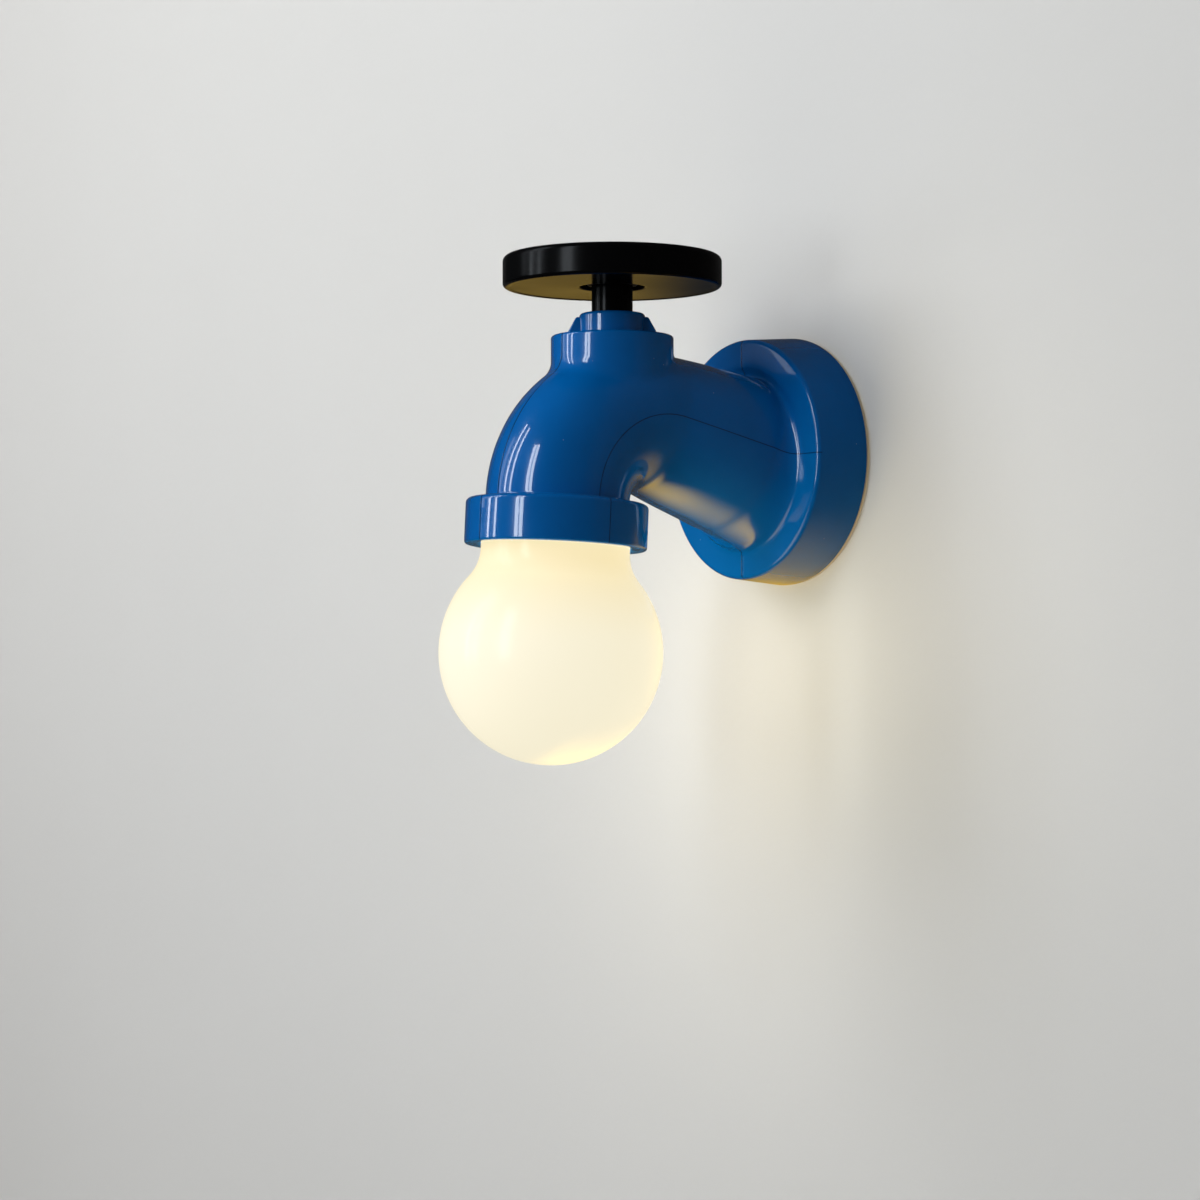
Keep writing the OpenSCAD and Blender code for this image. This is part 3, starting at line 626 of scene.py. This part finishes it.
def rim_rings(s):
    """Drafted rim that starts with a small lip on the seal and ends in a round edge"""
    lip = 0.0022
    edge = s.canopy_edge
    rings = [wall_ring(rim_radius(s, SEAL_THICKNESS) - 0.0004, SEAL_THICKNESS),
             wall_ring(rim_radius(s, SEAL_THICKNESS) - 0.0001, SEAL_THICKNESS + 0.0002),
             wall_ring(rim_radius(s, lip), lip)]
    for k in range(1, 7):
        y = lip + (s.canopy_depth - edge - lip) * k / 7
        rings.append(wall_ring(rim_radius(s, y), y))
    rounded = arc(face_radius(s), s.canopy_depth - edge, edge, 0, 90, 12)
    return rings + [wall_ring(r, y) for r, y in rounded]


def face_radius(s):
    """Radius of the canopy's flat face"""
    edge = s.canopy_edge
    front = s.canopy_radius - s.canopy_draft
    return front + s.canopy_draft * edge / s.canopy_depth - edge


def pipe_rings(s):
    """Flat face, the blend that rolls off it while it leans into the pipe, and the pipe"""
    blend, blend_end, steps = s.face_blend, 0.011, 16
    face, face_y = face_radius(s), s.canopy_depth + 0.00002
    pipe_foot = pipe_radius(s, blend_end)
    foot = pipe_foot + blend * 1.02
    rings = [wall_ring(face * 0.6 + foot * 0.4, face_y),
             wall_ring(face * 0.15 + foot * 0.85, face_y)]
    root = Vector((0, -s.canopy_depth, 0))
    for k in range(1, steps + 1):
        a = math.radians(90 * k / steps * 0.93)
        part = k / steps
        lean = s.pipe_rise * (part * part * (3 - 2 * part))
        to_pipe = part * part * part
        height = blend * (1 - math.cos(a)) * (1 - to_pipe) + blend_end * to_pipe
        radius = (foot - blend * math.sin(a)) * (1 - to_pipe) + pipe_foot * to_pipe
        rings.append((root + Vector((0, -math.cos(lean), math.sin(lean))) * height, lean, radius))
    straight = pipe_length(s) - blend_end
    return rings + [pipe_ring(s, blend_end + straight * k / 14) for k in range(1, 15)]


def collar_rings(s):
    """End of the spout, the fillet over the collar, the collar, and its edge at the mouth"""
    tail = elbow_data(s)[1]
    mouth = -s.spout_length
    top = s.collar_height - s.spout_length
    fillet, edge, low = 0.0014, s.collar_edge, 0.0013
    inner, inner_edge = s.glass_neck_radius + 0.0003, 0.0018
    outer = s.collar_radius
    profile = [(s.pipe_radius, (-tail + top + 0.0016) / 2)]
    profile += arc(s.pipe_radius + fillet, top + fillet, fillet, 180, 270, 5)
    profile += [((s.pipe_radius + fillet + outer - edge) / 2, top)]
    profile += arc(outer - edge, top - edge, edge, 90, 0, 8)
    profile += [(outer, (top - edge + mouth + low) / 2)]
    profile += arc(outer - low, mouth + low, low, 0, -90, 6)
    profile += [((outer - low + inner + inner_edge) / 2, mouth)]
    profile += arc(inner + inner_edge, mouth + inner_edge, inner_edge, -90, -180, 4)
    shoulder = mouth + s.glass_grip + 0.002
    bore = s.pipe_radius - s.wall
    profile += [(inner, shoulder), (bore, shoulder), (bore, -tail - 0.0002)]
    return [spout_ring(s, r, w) for r, w in profile]


def inner_rings(s):
    """The hollow's skin, from the spout's bore back to the seal"""
    steps = 24
    rings = [elbow_ring(s, s.pipe_radius - s.wall, k, steps) for k in range(steps, -1, -1)]
    length = pipe_length(s)
    rings += [pipe_ring(s, run, s.wall) for run in (length * 0.6, length * 0.25, 0.003)]
    ceiling = s.canopy_depth - s.wall
    cup = s.canopy_radius - s.wall
    return rings + [
        wall_ring(pipe_radius(s, 0) - s.wall + 0.0003, ceiling),
        wall_ring(cup - s.canopy_draft - 0.001, ceiling),
        wall_ring(cup - s.canopy_draft, ceiling - 0.001),
        wall_ring(cup, SEAL_THICKNESS)]


def body_rings(s):
    elbow_steps = 44
    elbow = [elbow_ring(s, s.pipe_radius, k, elbow_steps) for k in range(1, elbow_steps + 1)]
    return rim_rings(s) + pipe_rings(s) + elbow + collar_rings(s) + inner_rings(s)


def elbow_offset(s, tilt):
    """From the elbow's middle to its centre line where the direction has that tilt"""
    return Vector((0, math.sin(tilt), math.cos(tilt))) * s.elbow_radius


# Neck: a turned form whose foot rings are set onto the elbow

FOOT_RINGS = 15


def nearest_on(section, p):
    """Distance to the section and its nearest point"""
    best = (1e9, None)
    for a, b in zip(section, section[1:]):
        ab = b - a
        t = max(0.0, min(1.0, (p - a).dot(ab) / ab.dot(ab)))
        q = a + ab * t
        gap = (p - q).length
        if gap < best[0]:
            best = (gap, q)
    return best


def elbow_section(s, body, direction):
    """The elbow's skin under a ray that leaves the neck's axis: distance and height"""
    first, step, count = 0.017, 0.0006, 52
    section = []
    for k in range(count):
        rho = first + step * k
        start = Vector((direction.x * rho, direction.y * rho - s.neck_reach, s.neck_top + 0.03))
        hit, where, _, _ = body.ray_cast(start, Vector((0, 0, -1)))
        if not hit or where.z < 0.0:
            break
        section.append(Vector((rho, where.z)))
    return section


def rolling_blend(s, section, fillet):
    """Points of an arc that touches both the neck's wall and the section"""
    side = s.neck_radius + fillet
    low, high = section[0].y - 0.02, s.neck_top
    for _ in range(40):
        mid = (low + high) / 2
        if nearest_on(section, Vector((side, mid)))[0] < fillet:
            low = mid
        else:
            high = mid
    centre = Vector((side, high))
    contact = nearest_on(section, centre)[1]
    end = math.atan2(contact.y - centre.y, contact.x - centre.x) % (2 * math.pi)
    points = []
    for k in range(FOOT_RINGS):
        t = math.pi + (end - math.pi) * k / (FOOT_RINGS - 1)
        points.append((centre.x + fillet * math.cos(t), centre.y + fillet * math.sin(t)))
    return points


def foot_columns(s, body):
    """Blend at each side of the neck; it is tightest at the back, over the pipe"""
    columns = []
    for i in range(s.sides):
        a = 2 * math.pi * i / s.sides
        direction = Vector((math.cos(a), math.sin(a), 0))
        back = 0.5 + 0.5 * math.sin(a)
        fillet = s.neck_fillet * (1 - 0.72 * back * back)
        columns.append(rolling_blend(s, elbow_section(s, body, direction), fillet))
    return columns


def make_neck(s, body):
    columns = foot_columns(s, body)
    rad, top, edge = s.neck_radius, s.neck_top, s.neck_edge
    bore, foot = rad - s.wall, top - 0.020
    profile = [(NECK_HOLE, top), ((NECK_HOLE + rad) / 2, top)]
    profile += arc(rad - edge, top - edge, edge, 90, 0, 9)
    first_foot = len(profile)
    profile += [(rad, top - 0.004 - 0.001 * k) for k in range(FOOT_RINGS)]
    profile += [(rad, foot), (bore, foot), (bore, top - s.wall - 0.001)]
    profile += [(bore - 0.001, top - s.wall), (NECK_HOLE, top - s.wall)]
    axis = Vector((0, -s.neck_reach, 0))
    neck = turned("neck_form", profile, axis, math.pi / 2, s.sides, "loop")
    for v in neck.data.vertices:
        k = v.index // s.sides - first_foot
        if not 0 <= k <= FOOT_RINGS + 1:
            continue
        a = math.atan2(v.co.y + s.neck_reach, v.co.x) % (2 * math.pi)
        outward = Vector((math.cos(a), math.sin(a)))
        column = columns[int(round(a / (2 * math.pi) * s.sides)) % s.sides]
        contact_r, contact_z = column[-1]
        if k < FOOT_RINGS - 1:
            r, z = column[k]
        elif k == FOOT_RINGS - 1:
            r, z = contact_r + 0.00002, contact_z - 0.00004
        elif k == FOOT_RINGS:
            r, z = contact_r - 0.0012, contact_z - 0.0022
        else:
            r, z = bore, contact_z - 0.0024
        v.co = Vector((outward.x * r, -s.neck_reach + outward.y * r, z))
    neck.data.update()
    return neck


def cut_neck_hole(s, body):
    """Opens the elbow under the neck"""
    start_clean()
    bpy.ops.mesh.primitive_cylinder_add(
        vertices=96, radius=s.neck_radius - s.wall - 0.0004, depth=0.04,
        location=(0, -s.neck_reach, s.neck_top - 0.013))
    drill = bpy.context.object
    cut = body.modifiers.new("Neck hole", "BOOLEAN")
    cut.operation = "DIFFERENCE"
    cut.solver = "EXACT"
    cut.object = drill
    start_clean()
    body.select_set(True)
    bpy.context.view_layer.objects.active = body
    bpy.ops.object.modifier_apply(modifier=cut.name)
    bpy.data.objects.remove(drill)


def store_offset(piece, offset_of):
    """Keeps each vertex's distance from the side parting plane; 1 m where there is no line"""
    offset = piece.data.attributes.new("side_offset", "FLOAT", "POINT")
    for v in piece.data.vertices:
        offset.data[v.index].value = offset_of(v)


class FAUCET_OT_body(bpy.types.Operator):
    """Moulded body: canopy, flared pipe, elbow, spout, collar and neck in one skin"""
    bl_idname = "faucet.body"
    bl_label = "Moulded body"

    def execute(self, context):
        s = context.scene.faucet_sizes
        rings = body_rings(s)
        body = ring_chain("body_moulding", rings, s.sides, "loop", 35)

        def above_middle(v):
            centre, tilt, _ = rings[min(v.index // s.sides, len(rings) - 1)]
            height = (v.co - centre).dot(Vector((0, math.sin(tilt), math.cos(tilt))))
            on_rim = -v.co.y < s.canopy_depth - 0.0022
            return math.copysign(1.0, height) if on_rim else height

        store_offset(body, above_middle)
        context.view_layer.update()
        neck = make_neck(s, body)
        cut_neck_hole(s, body)
        store_offset(neck, lambda v: 1.0)
        piece = joined("body_moulding", [body, neck])
        finish_piece(piece, "root", FINISHES["body"], ["faucet_body"])
        return {"FINISHED"}


class FAUCET_OT_bonnet(bpy.types.Operator):
    """Bonnet: round boss with a concave foot and two gusset wings"""
    bl_idname = "faucet.bonnet"
    bl_label = "Bonnet"

    def execute(self, context):
        s = context.scene.faucet_sizes
        base = Vector((0, -s.neck_reach, s.neck_top))
        r, h = s.bonnet_radius, s.bonnet_height
        foot, edge, gap = 0.0016, 0.0015, 0.00002
        well, well_edge = 0.00855, 0.0004
        floor = h - 0.0058
        profile = [(NECK_HOLE, gap), (r + foot - 0.0002, gap)]
        profile += arc(r + foot, foot, foot, 270, 180, 6)
        profile += arc(r - edge, h - edge, edge, 0, 90, 7)
        profile += [(well + well_edge, h), (well, h - well_edge)]
        profile += [(well, floor), (NECK_HOLE, floor)]
        boss = turned("bonnet", profile, base, math.pi / 2, s.sides, "loop")
        piece = joined("bonnet", [boss, self.make_wings(s, base)])
        finish_piece(piece, "root", FINISHES["bonnet"], ["bonnet_cap"])
        return {"FINISHED"}

    def make_wings(self, s, base):
        """One bar across the boss, narrowed at its top, makes both wings"""
        start_clean()
        middle = base + Vector((0, 0, s.wing_height / 2))
        bpy.ops.mesh.primitive_cube_add(size=1, location=middle)
        wings = bpy.context.object
        wings.scale = (s.wing_width, 2 * s.wing_foot, s.wing_height)
        bpy.ops.object.transform_apply(location=False, rotation=True, scale=True)
        bpy.ops.object.mode_set(mode="EDIT")
        bpy.ops.mesh.select_mode(type="FACE")
        mesh = bmesh.from_edit_mesh(wings.data)
        for face in mesh.faces:
            face.select = face.normal.z > 0.9
        mesh.select_flush_mode()
        bmesh.update_edit_mesh(wings.data)
        bpy.ops.transform.resize(value=(1, s.wing_top / s.wing_foot, 1))
        bpy.ops.object.mode_set(mode="OBJECT")
        wings.rotation_euler = (0, 0, -s.wing_turn)
        bpy.ops.object.transform_apply(location=True, rotation=True, scale=True)
        bevelled(wings, 0.0008, 4)
        bpy.ops.object.shade_smooth_by_angle(angle=math.radians(40))
        return wings


class FAUCET_OT_handle(bpy.types.Operator):
    """Handwheel and washer, turned on the neck's axis"""
    bl_idname = "faucet.handle"
    bl_label = "Handwheel and washer"

    def execute(self, context):
        s = context.scene.faucet_sizes
        seat = s.neck_top + s.bonnet_height + s.stem_length
        self.make_wheel(s, seat - s.wheel_swell)
        self.make_washer(s, seat)
        return {"FINISHED"}

    def make_wheel(self, s, low):
        """Disc with a shallow field and a recess below, where the stem goes in"""
        r, h = s.wheel_radius, s.wheel_height + 2 * s.wheel_swell
        edge, low_edge, field = 0.0026, 0.0018, 0.00025
        recess, stem = 0.0145, 0.0042
        deep = s.wheel_swell + 0.0012
        profile = [(0.0, h), (r * 0.5, h), (r * 0.9, h)]
        profile += arc(r - edge, h - edge, edge, 90, 0, 12)
        profile += arc(r - low_edge, low_edge, low_edge, 0, -90, 9)
        profile += [(r - 0.0030, 0.0), (r - 0.0034, field), (r - 0.0040, field)]
        profile += [(recess + 0.0015, field), (recess + 0.0004, 0.0002), (recess, 0.0005)]
        profile += [(recess, deep), (stem, deep), (stem, deep + 0.0076), (0.0, deep + 0.0076)]
        profile = [(a, b + low) for a, b in profile]
        wheel = turned("wheel_disc", profile, Vector((0, -s.neck_reach, 0)), math.pi / 2, 192)
        finish_piece(wheel, "wheel", FINISHES["handle"], ["handwheel"])

    def make_washer(self, s, seat):
        hole, outer, thick = 0.00405, 0.0113, 0.0012
        profile = [(hole, 0.0001), (outer - 0.0004, 0.0001), (outer, 0.0004),
                   (outer, thick - 0.0003), (outer - 0.0003, thick), (hole, thick)]
        profile = [(a, seat + b) for a, b in profile]
        axis = Vector((0, -s.neck_reach, 0))
        washer = turned("stem_washer", profile, axis, math.pi / 2, 96, "loop")
        finish_piece(washer, "wheel", FINISHES["washer"], ["wheel_washer"])


class FAUCET_OT_globe(bpy.types.Operator):
    """Opal globe: blown wall of even thickness with a neck and a soft shoulder"""
    bl_idname = "faucet.globe"
    bl_label = "Opal globe"

    def execute(self, context):
        s = context.scene.faucet_sizes
        mouth = -s.spout_length
        middle = mouth - s.globe_drop
        rim = mouth + s.glass_grip
        rounding = s.glass_shoulder
        side = s.glass_neck_radius + rounding
        reach = s.globe_radius + rounding
        lift = math.sqrt(reach * reach - side * side)
        meet = math.degrees(math.atan2(lift, side))

        def half(inset):
            """The ball and its shoulder, from the pole up to the neck"""
            points = arc(0, middle, s.globe_radius - inset, -90, meet, 64)
            points += arc(side, middle + lift, rounding + inset, 180 + meet, 180, 10)[1:]
            return points

        lip = s.glass_wall * 0.5
        profile = half(0)
        profile += [(s.glass_neck_radius, mouth + 0.001), (s.glass_neck_radius, mouth + 0.006)]
        profile += arc(s.glass_neck_radius - lip, rim - lip, lip, 0, 180, 10)
        profile += list(reversed(half(s.glass_wall)))
        rings = [spout_ring(s, max(r, 2e-5), w) for r, w in profile]
        globe = ring_chain("globe_shell", rings, 192)
        finish_piece(globe, "globe", FINISHES["opal"], ["glass_globe"])
        return {"FINISHED"}


class FAUCET_OT_seal(bpy.types.Operator):
    """Foam seal between rim and wall, slightly squeezed at its outer edge"""
    bl_idname = "faucet.seal"
    bl_label = "Wall seal"

    def execute(self, context):
        s = context.scene.faucet_sizes
        outer = s.canopy_radius - 0.0004
        inner = outer - 0.0026
        squeeze, bulge = 0.0002, 0.0005
        profile = [(inner, 0.0), (outer - squeeze, 0.0)]
        profile += arc(outer - bulge, SEAL_THICKNESS / 2, bulge, -70, 70, 8)
        profile += [(outer - squeeze, SEAL_THICKNESS), (inner, SEAL_THICKNESS)]
        seal = turned("foam_seal", profile, Vector((0, 0, 0)), 0.0, s.sides, "loop")
        finish_piece(seal, "root", FINISHES["foam"], ["wall_seal"])
        return {"FINISHED"}


# Carried-over nodes by finish
FITTINGS = {
    "handle": ("wheel_stem",),
    "white": ("dimmer_housing", "lamp_holder", "bulb_housing", "terminal_block"),
    "frosted": ("bulb_dome",),
    "zinc": ("stem_set_screw", "dimmer_shaft", "dimmer_lock_washer", "holder_strap",
             "strap_screws", "holder_nipple", "bulb_tip", "bulb_cap", "wall_bracket",
             "canopy_screws", "terminal_screws"),
    "brass": ("dimmer_nut", "nipple_nut", "contact_shell", "centre_contact", "earth_screw",
              "earth_tag"),
    "silicone": ("globe_gasket",), "rubber": ("cable_grommet",),
    "brown": ("live_wire",), "black": ("switched_wire",), "blue": ("neutral_wire",),
    "green": ("earth_wire",),
}


class FAUCET_OT_fittings(bpy.types.Operator):
    """Gives every carried-over fitting its finish"""
    bl_idname = "faucet.fittings"
    bl_label = "Fittings"

    def execute(self, context):
        for finish, names in FITTINGS.items():
            for name in names:
                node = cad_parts[name]
                node.data.materials.clear()
                node.data.materials.append(FINISHES[finish])
        return {"FINISHED"}


# Stage

def aim(obj, target):
    obj.rotation_euler = (Vector(target) - obj.location).to_track_quat("-Z", "Y").to_euler()


def area_lamp(name, place, target, size, power, colour=(1, 1, 1)):
    data = bpy.data.lights.new(name, "AREA")
    data.shape = "RECTANGLE"
    data.size, data.size_y = size
    data.energy = power
    data.color = colour
    lamp = bpy.data.objects.new(name, data)
    bpy.context.scene.collection.objects.link(lamp)
    lamp.location = place
    aim(lamp, target)
    return lamp


DAYLIGHT = (0.86, 0.93, 1.0)
LIGHT_AXIS_Y = -0.09

# Window panes round the light: bearing in degrees, sideways shift, width, height
PANE_RANGE, PANE_WATTS = 1.35, 33
PANES = (
    (-122, 0.13, 0.075, 1.5), (-122, -0.13, 0.075, 1.5),
    (-82.7, 0.07, 0.11, 1.2), (-82.7, -0.07, 0.11, 1.2),
)

# Warm light on the wall as the skin mirrors it: middle, stretch, full to, gone at, strength
GLOWS = (
    ((-0.10, 0, -0.42), (1, 1, 0.6), 0.03, 0.20, 3.5),
    ((0.01, 0, -0.085), (1, 1, 1), 0.02, 0.08, 0.75),
    ((-0.19, 0, 0.050), (1, 1, 2), 0.05, 0.13, 0.33),
)
MIRRORED_WARM, FILL_WARM = (1.0, 0.62, 0.05), (1.0, 0.74, 0.36)

# Plain light behind the canopy, where the warm light doesn't reach
SHADE_COLOUR, SHADE_STRENGTH = (0.95, 0.97, 1.0), 0.7
SHADE_RADIUS, SHADE_END = 0.0560, 0.0565


def vector_math(tree, kind, a, b=None):
    node = tree.nodes.new("ShaderNodeVectorMath")
    node.operation = kind
    tree.links.new(a, node.inputs[0])
    if b is not None:
        node.inputs[1].default_value = b
    return node.outputs


def distance_node(tree, place, middle, stretch=(1, 1, 1)):
    """Distance from the middle, counted by the stretch along each axis"""
    shift = vector_math(tree, "SUBTRACT", place, middle)["Vector"]
    scaled = vector_math(tree, "MULTIPLY", shift, stretch)["Vector"]
    return vector_math(tree, "LENGTH", scaled)["Value"]


def stage_colours(c, tree, shader, place):
    """Pale colour for the camera and a duller one for all that the pieces see"""
    slow = noise_node(tree, place, 3.0, 3.0)
    colour = tuple(c.backdrop)
    path = tree.nodes.new("ShaderNodeLightPath").outputs
    pale = mix_colour(tree, slow, shade(colour, 0.97), shade(colour, 1.03))
    unseen = mix_colour(tree, path["Is Glossy Ray"], tuple(c.bounce), shade(c.bounce, 0.09))
    base = mix_colour(tree, path["Is Camera Ray"], unseen, pale)
    feed(tree, shader, Base_Color=base, Roughness=0.9)
    bump(tree, shader, noise_node(tree, place, 220.0, 3.0), 0.0003, 0.25)
    return path, pale


def floor_material(c):
    """Pale floor, brighter to the camera than it lights the room"""
    mat, tree, shader, place = new_material("Pale floor")
    path, pale = stage_colours(c, tree, shader, place)
    feed(tree, shader, Emission_Color=pale,
         Emission_Strength=times(tree, path["Is Camera Ray"], 0.75))
    return mat


def backdrop_material(c):
    """Pale plaster with the mirrored glows, see-through from behind"""
    mat, tree, shader, place = new_material("Pale plaster")
    path, _ = stage_colours(c, tree, shader, place)
    mirrored = 0.0
    for middle, stretch, near, far, power in GLOWS:
        pool = range_node(tree, distance_node(tree, place, middle, stretch), near, far, power, 0.0)
        mirrored = math_node(tree, "ADD", pool, mirrored)
    mirrored = times(tree, mirrored, path["Is Glossy Ray"])
    fill = range_node(tree, distance_node(tree, place, (-0.02, 0, -0.15)), 0.05, 0.21, 1.5, 0.0)
    fill = times(tree, fill, path["Is Diffuse Ray"])
    behind = range_node(
        tree, distance_node(tree, place, (0, 0, 0)), SHADE_RADIUS, SHADE_END, 1.0, 0.0)
    warm = mix_colour(tree, path["Is Diffuse Ray"], MIRRORED_WARM, FILL_WARM)
    unseen = math_node(tree, "SUBTRACT", 1.0, path["Is Camera Ray"])
    strength = tree.nodes.new("ShaderNodeMix")
    strength.data_type = "FLOAT"
    tree.links.new(behind, strength.inputs[0])
    tree.links.new(math_node(tree, "ADD", fill, mirrored), strength.inputs[2])
    tree.links.new(times(tree, unseen, SHADE_STRENGTH), strength.inputs[3])
    feed(tree, shader, Emission_Color=mix_colour(tree, behind, warm, SHADE_COLOUR),
         Emission_Strength=strength.outputs[0])
    back = tree.nodes.new("ShaderNodeNewGeometry").outputs["Backfacing"]
    clear = tree.nodes.new("ShaderNodeBsdfTransparent")
    surface = mix_shaders(tree, back, shader, clear)
    tree.links.new(surface.outputs[0], tree.nodes["Material Output"].inputs["Surface"])
    return mat


def mix_shaders(tree, factor, first, second):
    mix = tree.nodes.new("ShaderNodeMixShader")
    tree.links.new(factor, mix.inputs[0])
    tree.links.new(first.outputs[0], mix.inputs[1])
    tree.links.new(second.outputs[0], mix.inputs[2])
    return mix


def background(tree, colour, strength):
    node = tree.nodes.new("ShaderNodeBackground")
    node.inputs["Color"].default_value = (*colour, 1)
    node.inputs["Strength"].default_value = strength
    return node


class FAUCET_OT_stage(bpy.types.Operator):
    """Pale wall and floor, soft window lamps and the camera"""
    bl_idname = "faucet.stage"
    bl_label = "Stage"

    def execute(self, context):
        scene = context.scene
        c = scene.faucet_colours
        wall = self.add_flat("stage_wall", (0, 0.0006, 1.5), (math.pi / 2, 0, 0))
        floor = self.add_flat("stage_floor", (0, -4.5, -1.1), (0, 0, 0))
        for flat, finish in ((wall, backdrop_material(c)), (floor, floor_material(c))):
            flat.data.materials.append(finish)
        self.add_lamps()
        scene.world = self.make_world()
        scene.view_settings.view_transform = "Standard"
        add_camera(scene)
        return {"FINISHED"}

    def add_flat(self, name, place, turn):
        start_clean()
        bpy.ops.mesh.primitive_plane_add(size=9, location=place, rotation=turn)
        flat = bpy.context.object
        flat.name = name
        bpy.ops.object.transform_apply(location=True, rotation=True, scale=True)
        return flat

    def add_lamps(self):
        for k, (bearing, shift, wide, tall) in enumerate(PANES):
            a = math.radians(bearing)
            height = tall / 2 - 0.22
            place = (PANE_RANGE * math.cos(a) - shift * math.sin(a),
                     PANE_RANGE * math.sin(a) + shift * math.cos(a) + LIGHT_AXIS_Y, height)
            area_lamp("window_%d" % k, place, (0, LIGHT_AXIS_Y, height), (wide, tall),
                      PANE_WATTS * wide * tall, DAYLIGHT)
        area_lamp("far_window", (-0.806, -0.797, 0.385), (0, LIGHT_AXIS_Y, 0.1), (0.115, 0.51),
                  0.22, DAYLIGHT)
        front = area_lamp("soft_front", (-0.9, -1.6, 1.0), (0, LIGHT_AXIS_Y, 0), (1.5, 1.5), 21,
                          (1.0, 0.98, 0.95))
        front.visible_glossy = False

    def make_world(self):
        """Pale to the camera, dim where the skin mirrors it, soft daylight for the rest"""
        world = bpy.data.worlds.new("Pale room")
        world.use_nodes = True
        tree = world.node_tree
        tree.nodes.remove(tree.nodes["Background"])
        plain = background(tree, (0.95, 0.97, 1.0), 0.26)
        dim = background(tree, (0.8, 0.9, 1.0), 0.018)
        seen = background(tree, (0.86, 0.85, 0.84), 1.0)
        path = tree.nodes.new("ShaderNodeLightPath").outputs
        shine = mix_shaders(tree, path["Is Glossy Ray"], plain, dim)
        surface = mix_shaders(tree, path["Is Camera Ray"], shine, seen)
        tree.links.new(surface.outputs[0], tree.nodes["World Output"].inputs["Surface"])
        return world


# Camera at the photograph's place: bearing, height angle, distance, shift right and up
CAMERA_BEARING, CAMERA_PITCH = 54.2, -1.81
CAMERA_RANGE, CAMERA_RIGHT, CAMERA_UP = 1.423, -0.03866, -0.0646
CAMERA_AIM_Y = -0.060
SENSOR_WIDTH = 36
FOCAL_PIXELS, FRAME_PIXELS = 3161, 1200


def add_camera(scene):
    az, el = math.radians(CAMERA_BEARING), math.radians(CAMERA_PITCH)
    look = Vector((-math.sin(az) * math.cos(el), math.cos(az) * math.cos(el), -math.sin(el)))
    right = Vector((math.cos(az), math.sin(az), 0))
    up = right.cross(look)
    aim_point = Vector((0, CAMERA_AIM_Y, 0))
    place = aim_point - look * CAMERA_RANGE + right * CAMERA_RIGHT + up * CAMERA_UP
    data = bpy.data.cameras.new("Photo camera")
    data.lens = FOCAL_PIXELS / FRAME_PIXELS * SENSOR_WIDTH
    data.sensor_width = SENSOR_WIDTH
    data.clip_start, data.clip_end = 0.05, 50
    cam = bpy.data.objects.new("Photo camera", data)
    cam.matrix_world = Matrix.Translation(place) @ Matrix((right, up, -look)).transposed().to_4x4()
    scene.collection.objects.link(cam)
    scene.camera = cam


class FAUCET_PT_panel(bpy.types.Panel):
    """Lists the pieces of the wall light and its main sizes and colours"""
    bl_idname = "FAUCET_PT_panel"
    bl_label = "Faucet Wall Light"
    bl_space_type = "VIEW_3D"
    bl_region_type = "UI"
    bl_category = "Faucet Light"

    def draw(self, context):
        for op in OPERATORS:
            self.layout.operator(op.bl_idname)
        for group in (context.scene.faucet_sizes, context.scene.faucet_colours):
            box = self.layout.box()
            for key in group.__annotations__:
                box.prop(group, key)


OPERATORS = (
    FAUCET_OT_stage, FAUCET_OT_finishes, FAUCET_OT_body, FAUCET_OT_bonnet, FAUCET_OT_handle,
    FAUCET_OT_globe, FAUCET_OT_seal, FAUCET_OT_fittings,
)
CLASSES = (FaucetSizes, FaucetColours, *OPERATORS, FAUCET_PT_panel)


def register():
    for cls in CLASSES:
        bpy.utils.register_class(cls)
    bpy.types.Scene.faucet_sizes = PointerProperty(type=FaucetSizes)
    bpy.types.Scene.faucet_colours = PointerProperty(type=FaucetColours)


def unregister():
    del bpy.types.Scene.faucet_colours
    del bpy.types.Scene.faucet_sizes
    for cls in reversed(CLASSES):
        bpy.utils.unregister_class(cls)


def main():
    register()
    bpy.ops.faucet.stage()
    bpy.ops.faucet.finishes()
    bpy.ops.faucet.body()
    bpy.ops.faucet.bonnet()
    bpy.ops.faucet.handle()
    bpy.ops.faucet.globe()
    bpy.ops.faucet.seal()
    bpy.ops.faucet.fittings()


if __name__ == "__main__":
    main()
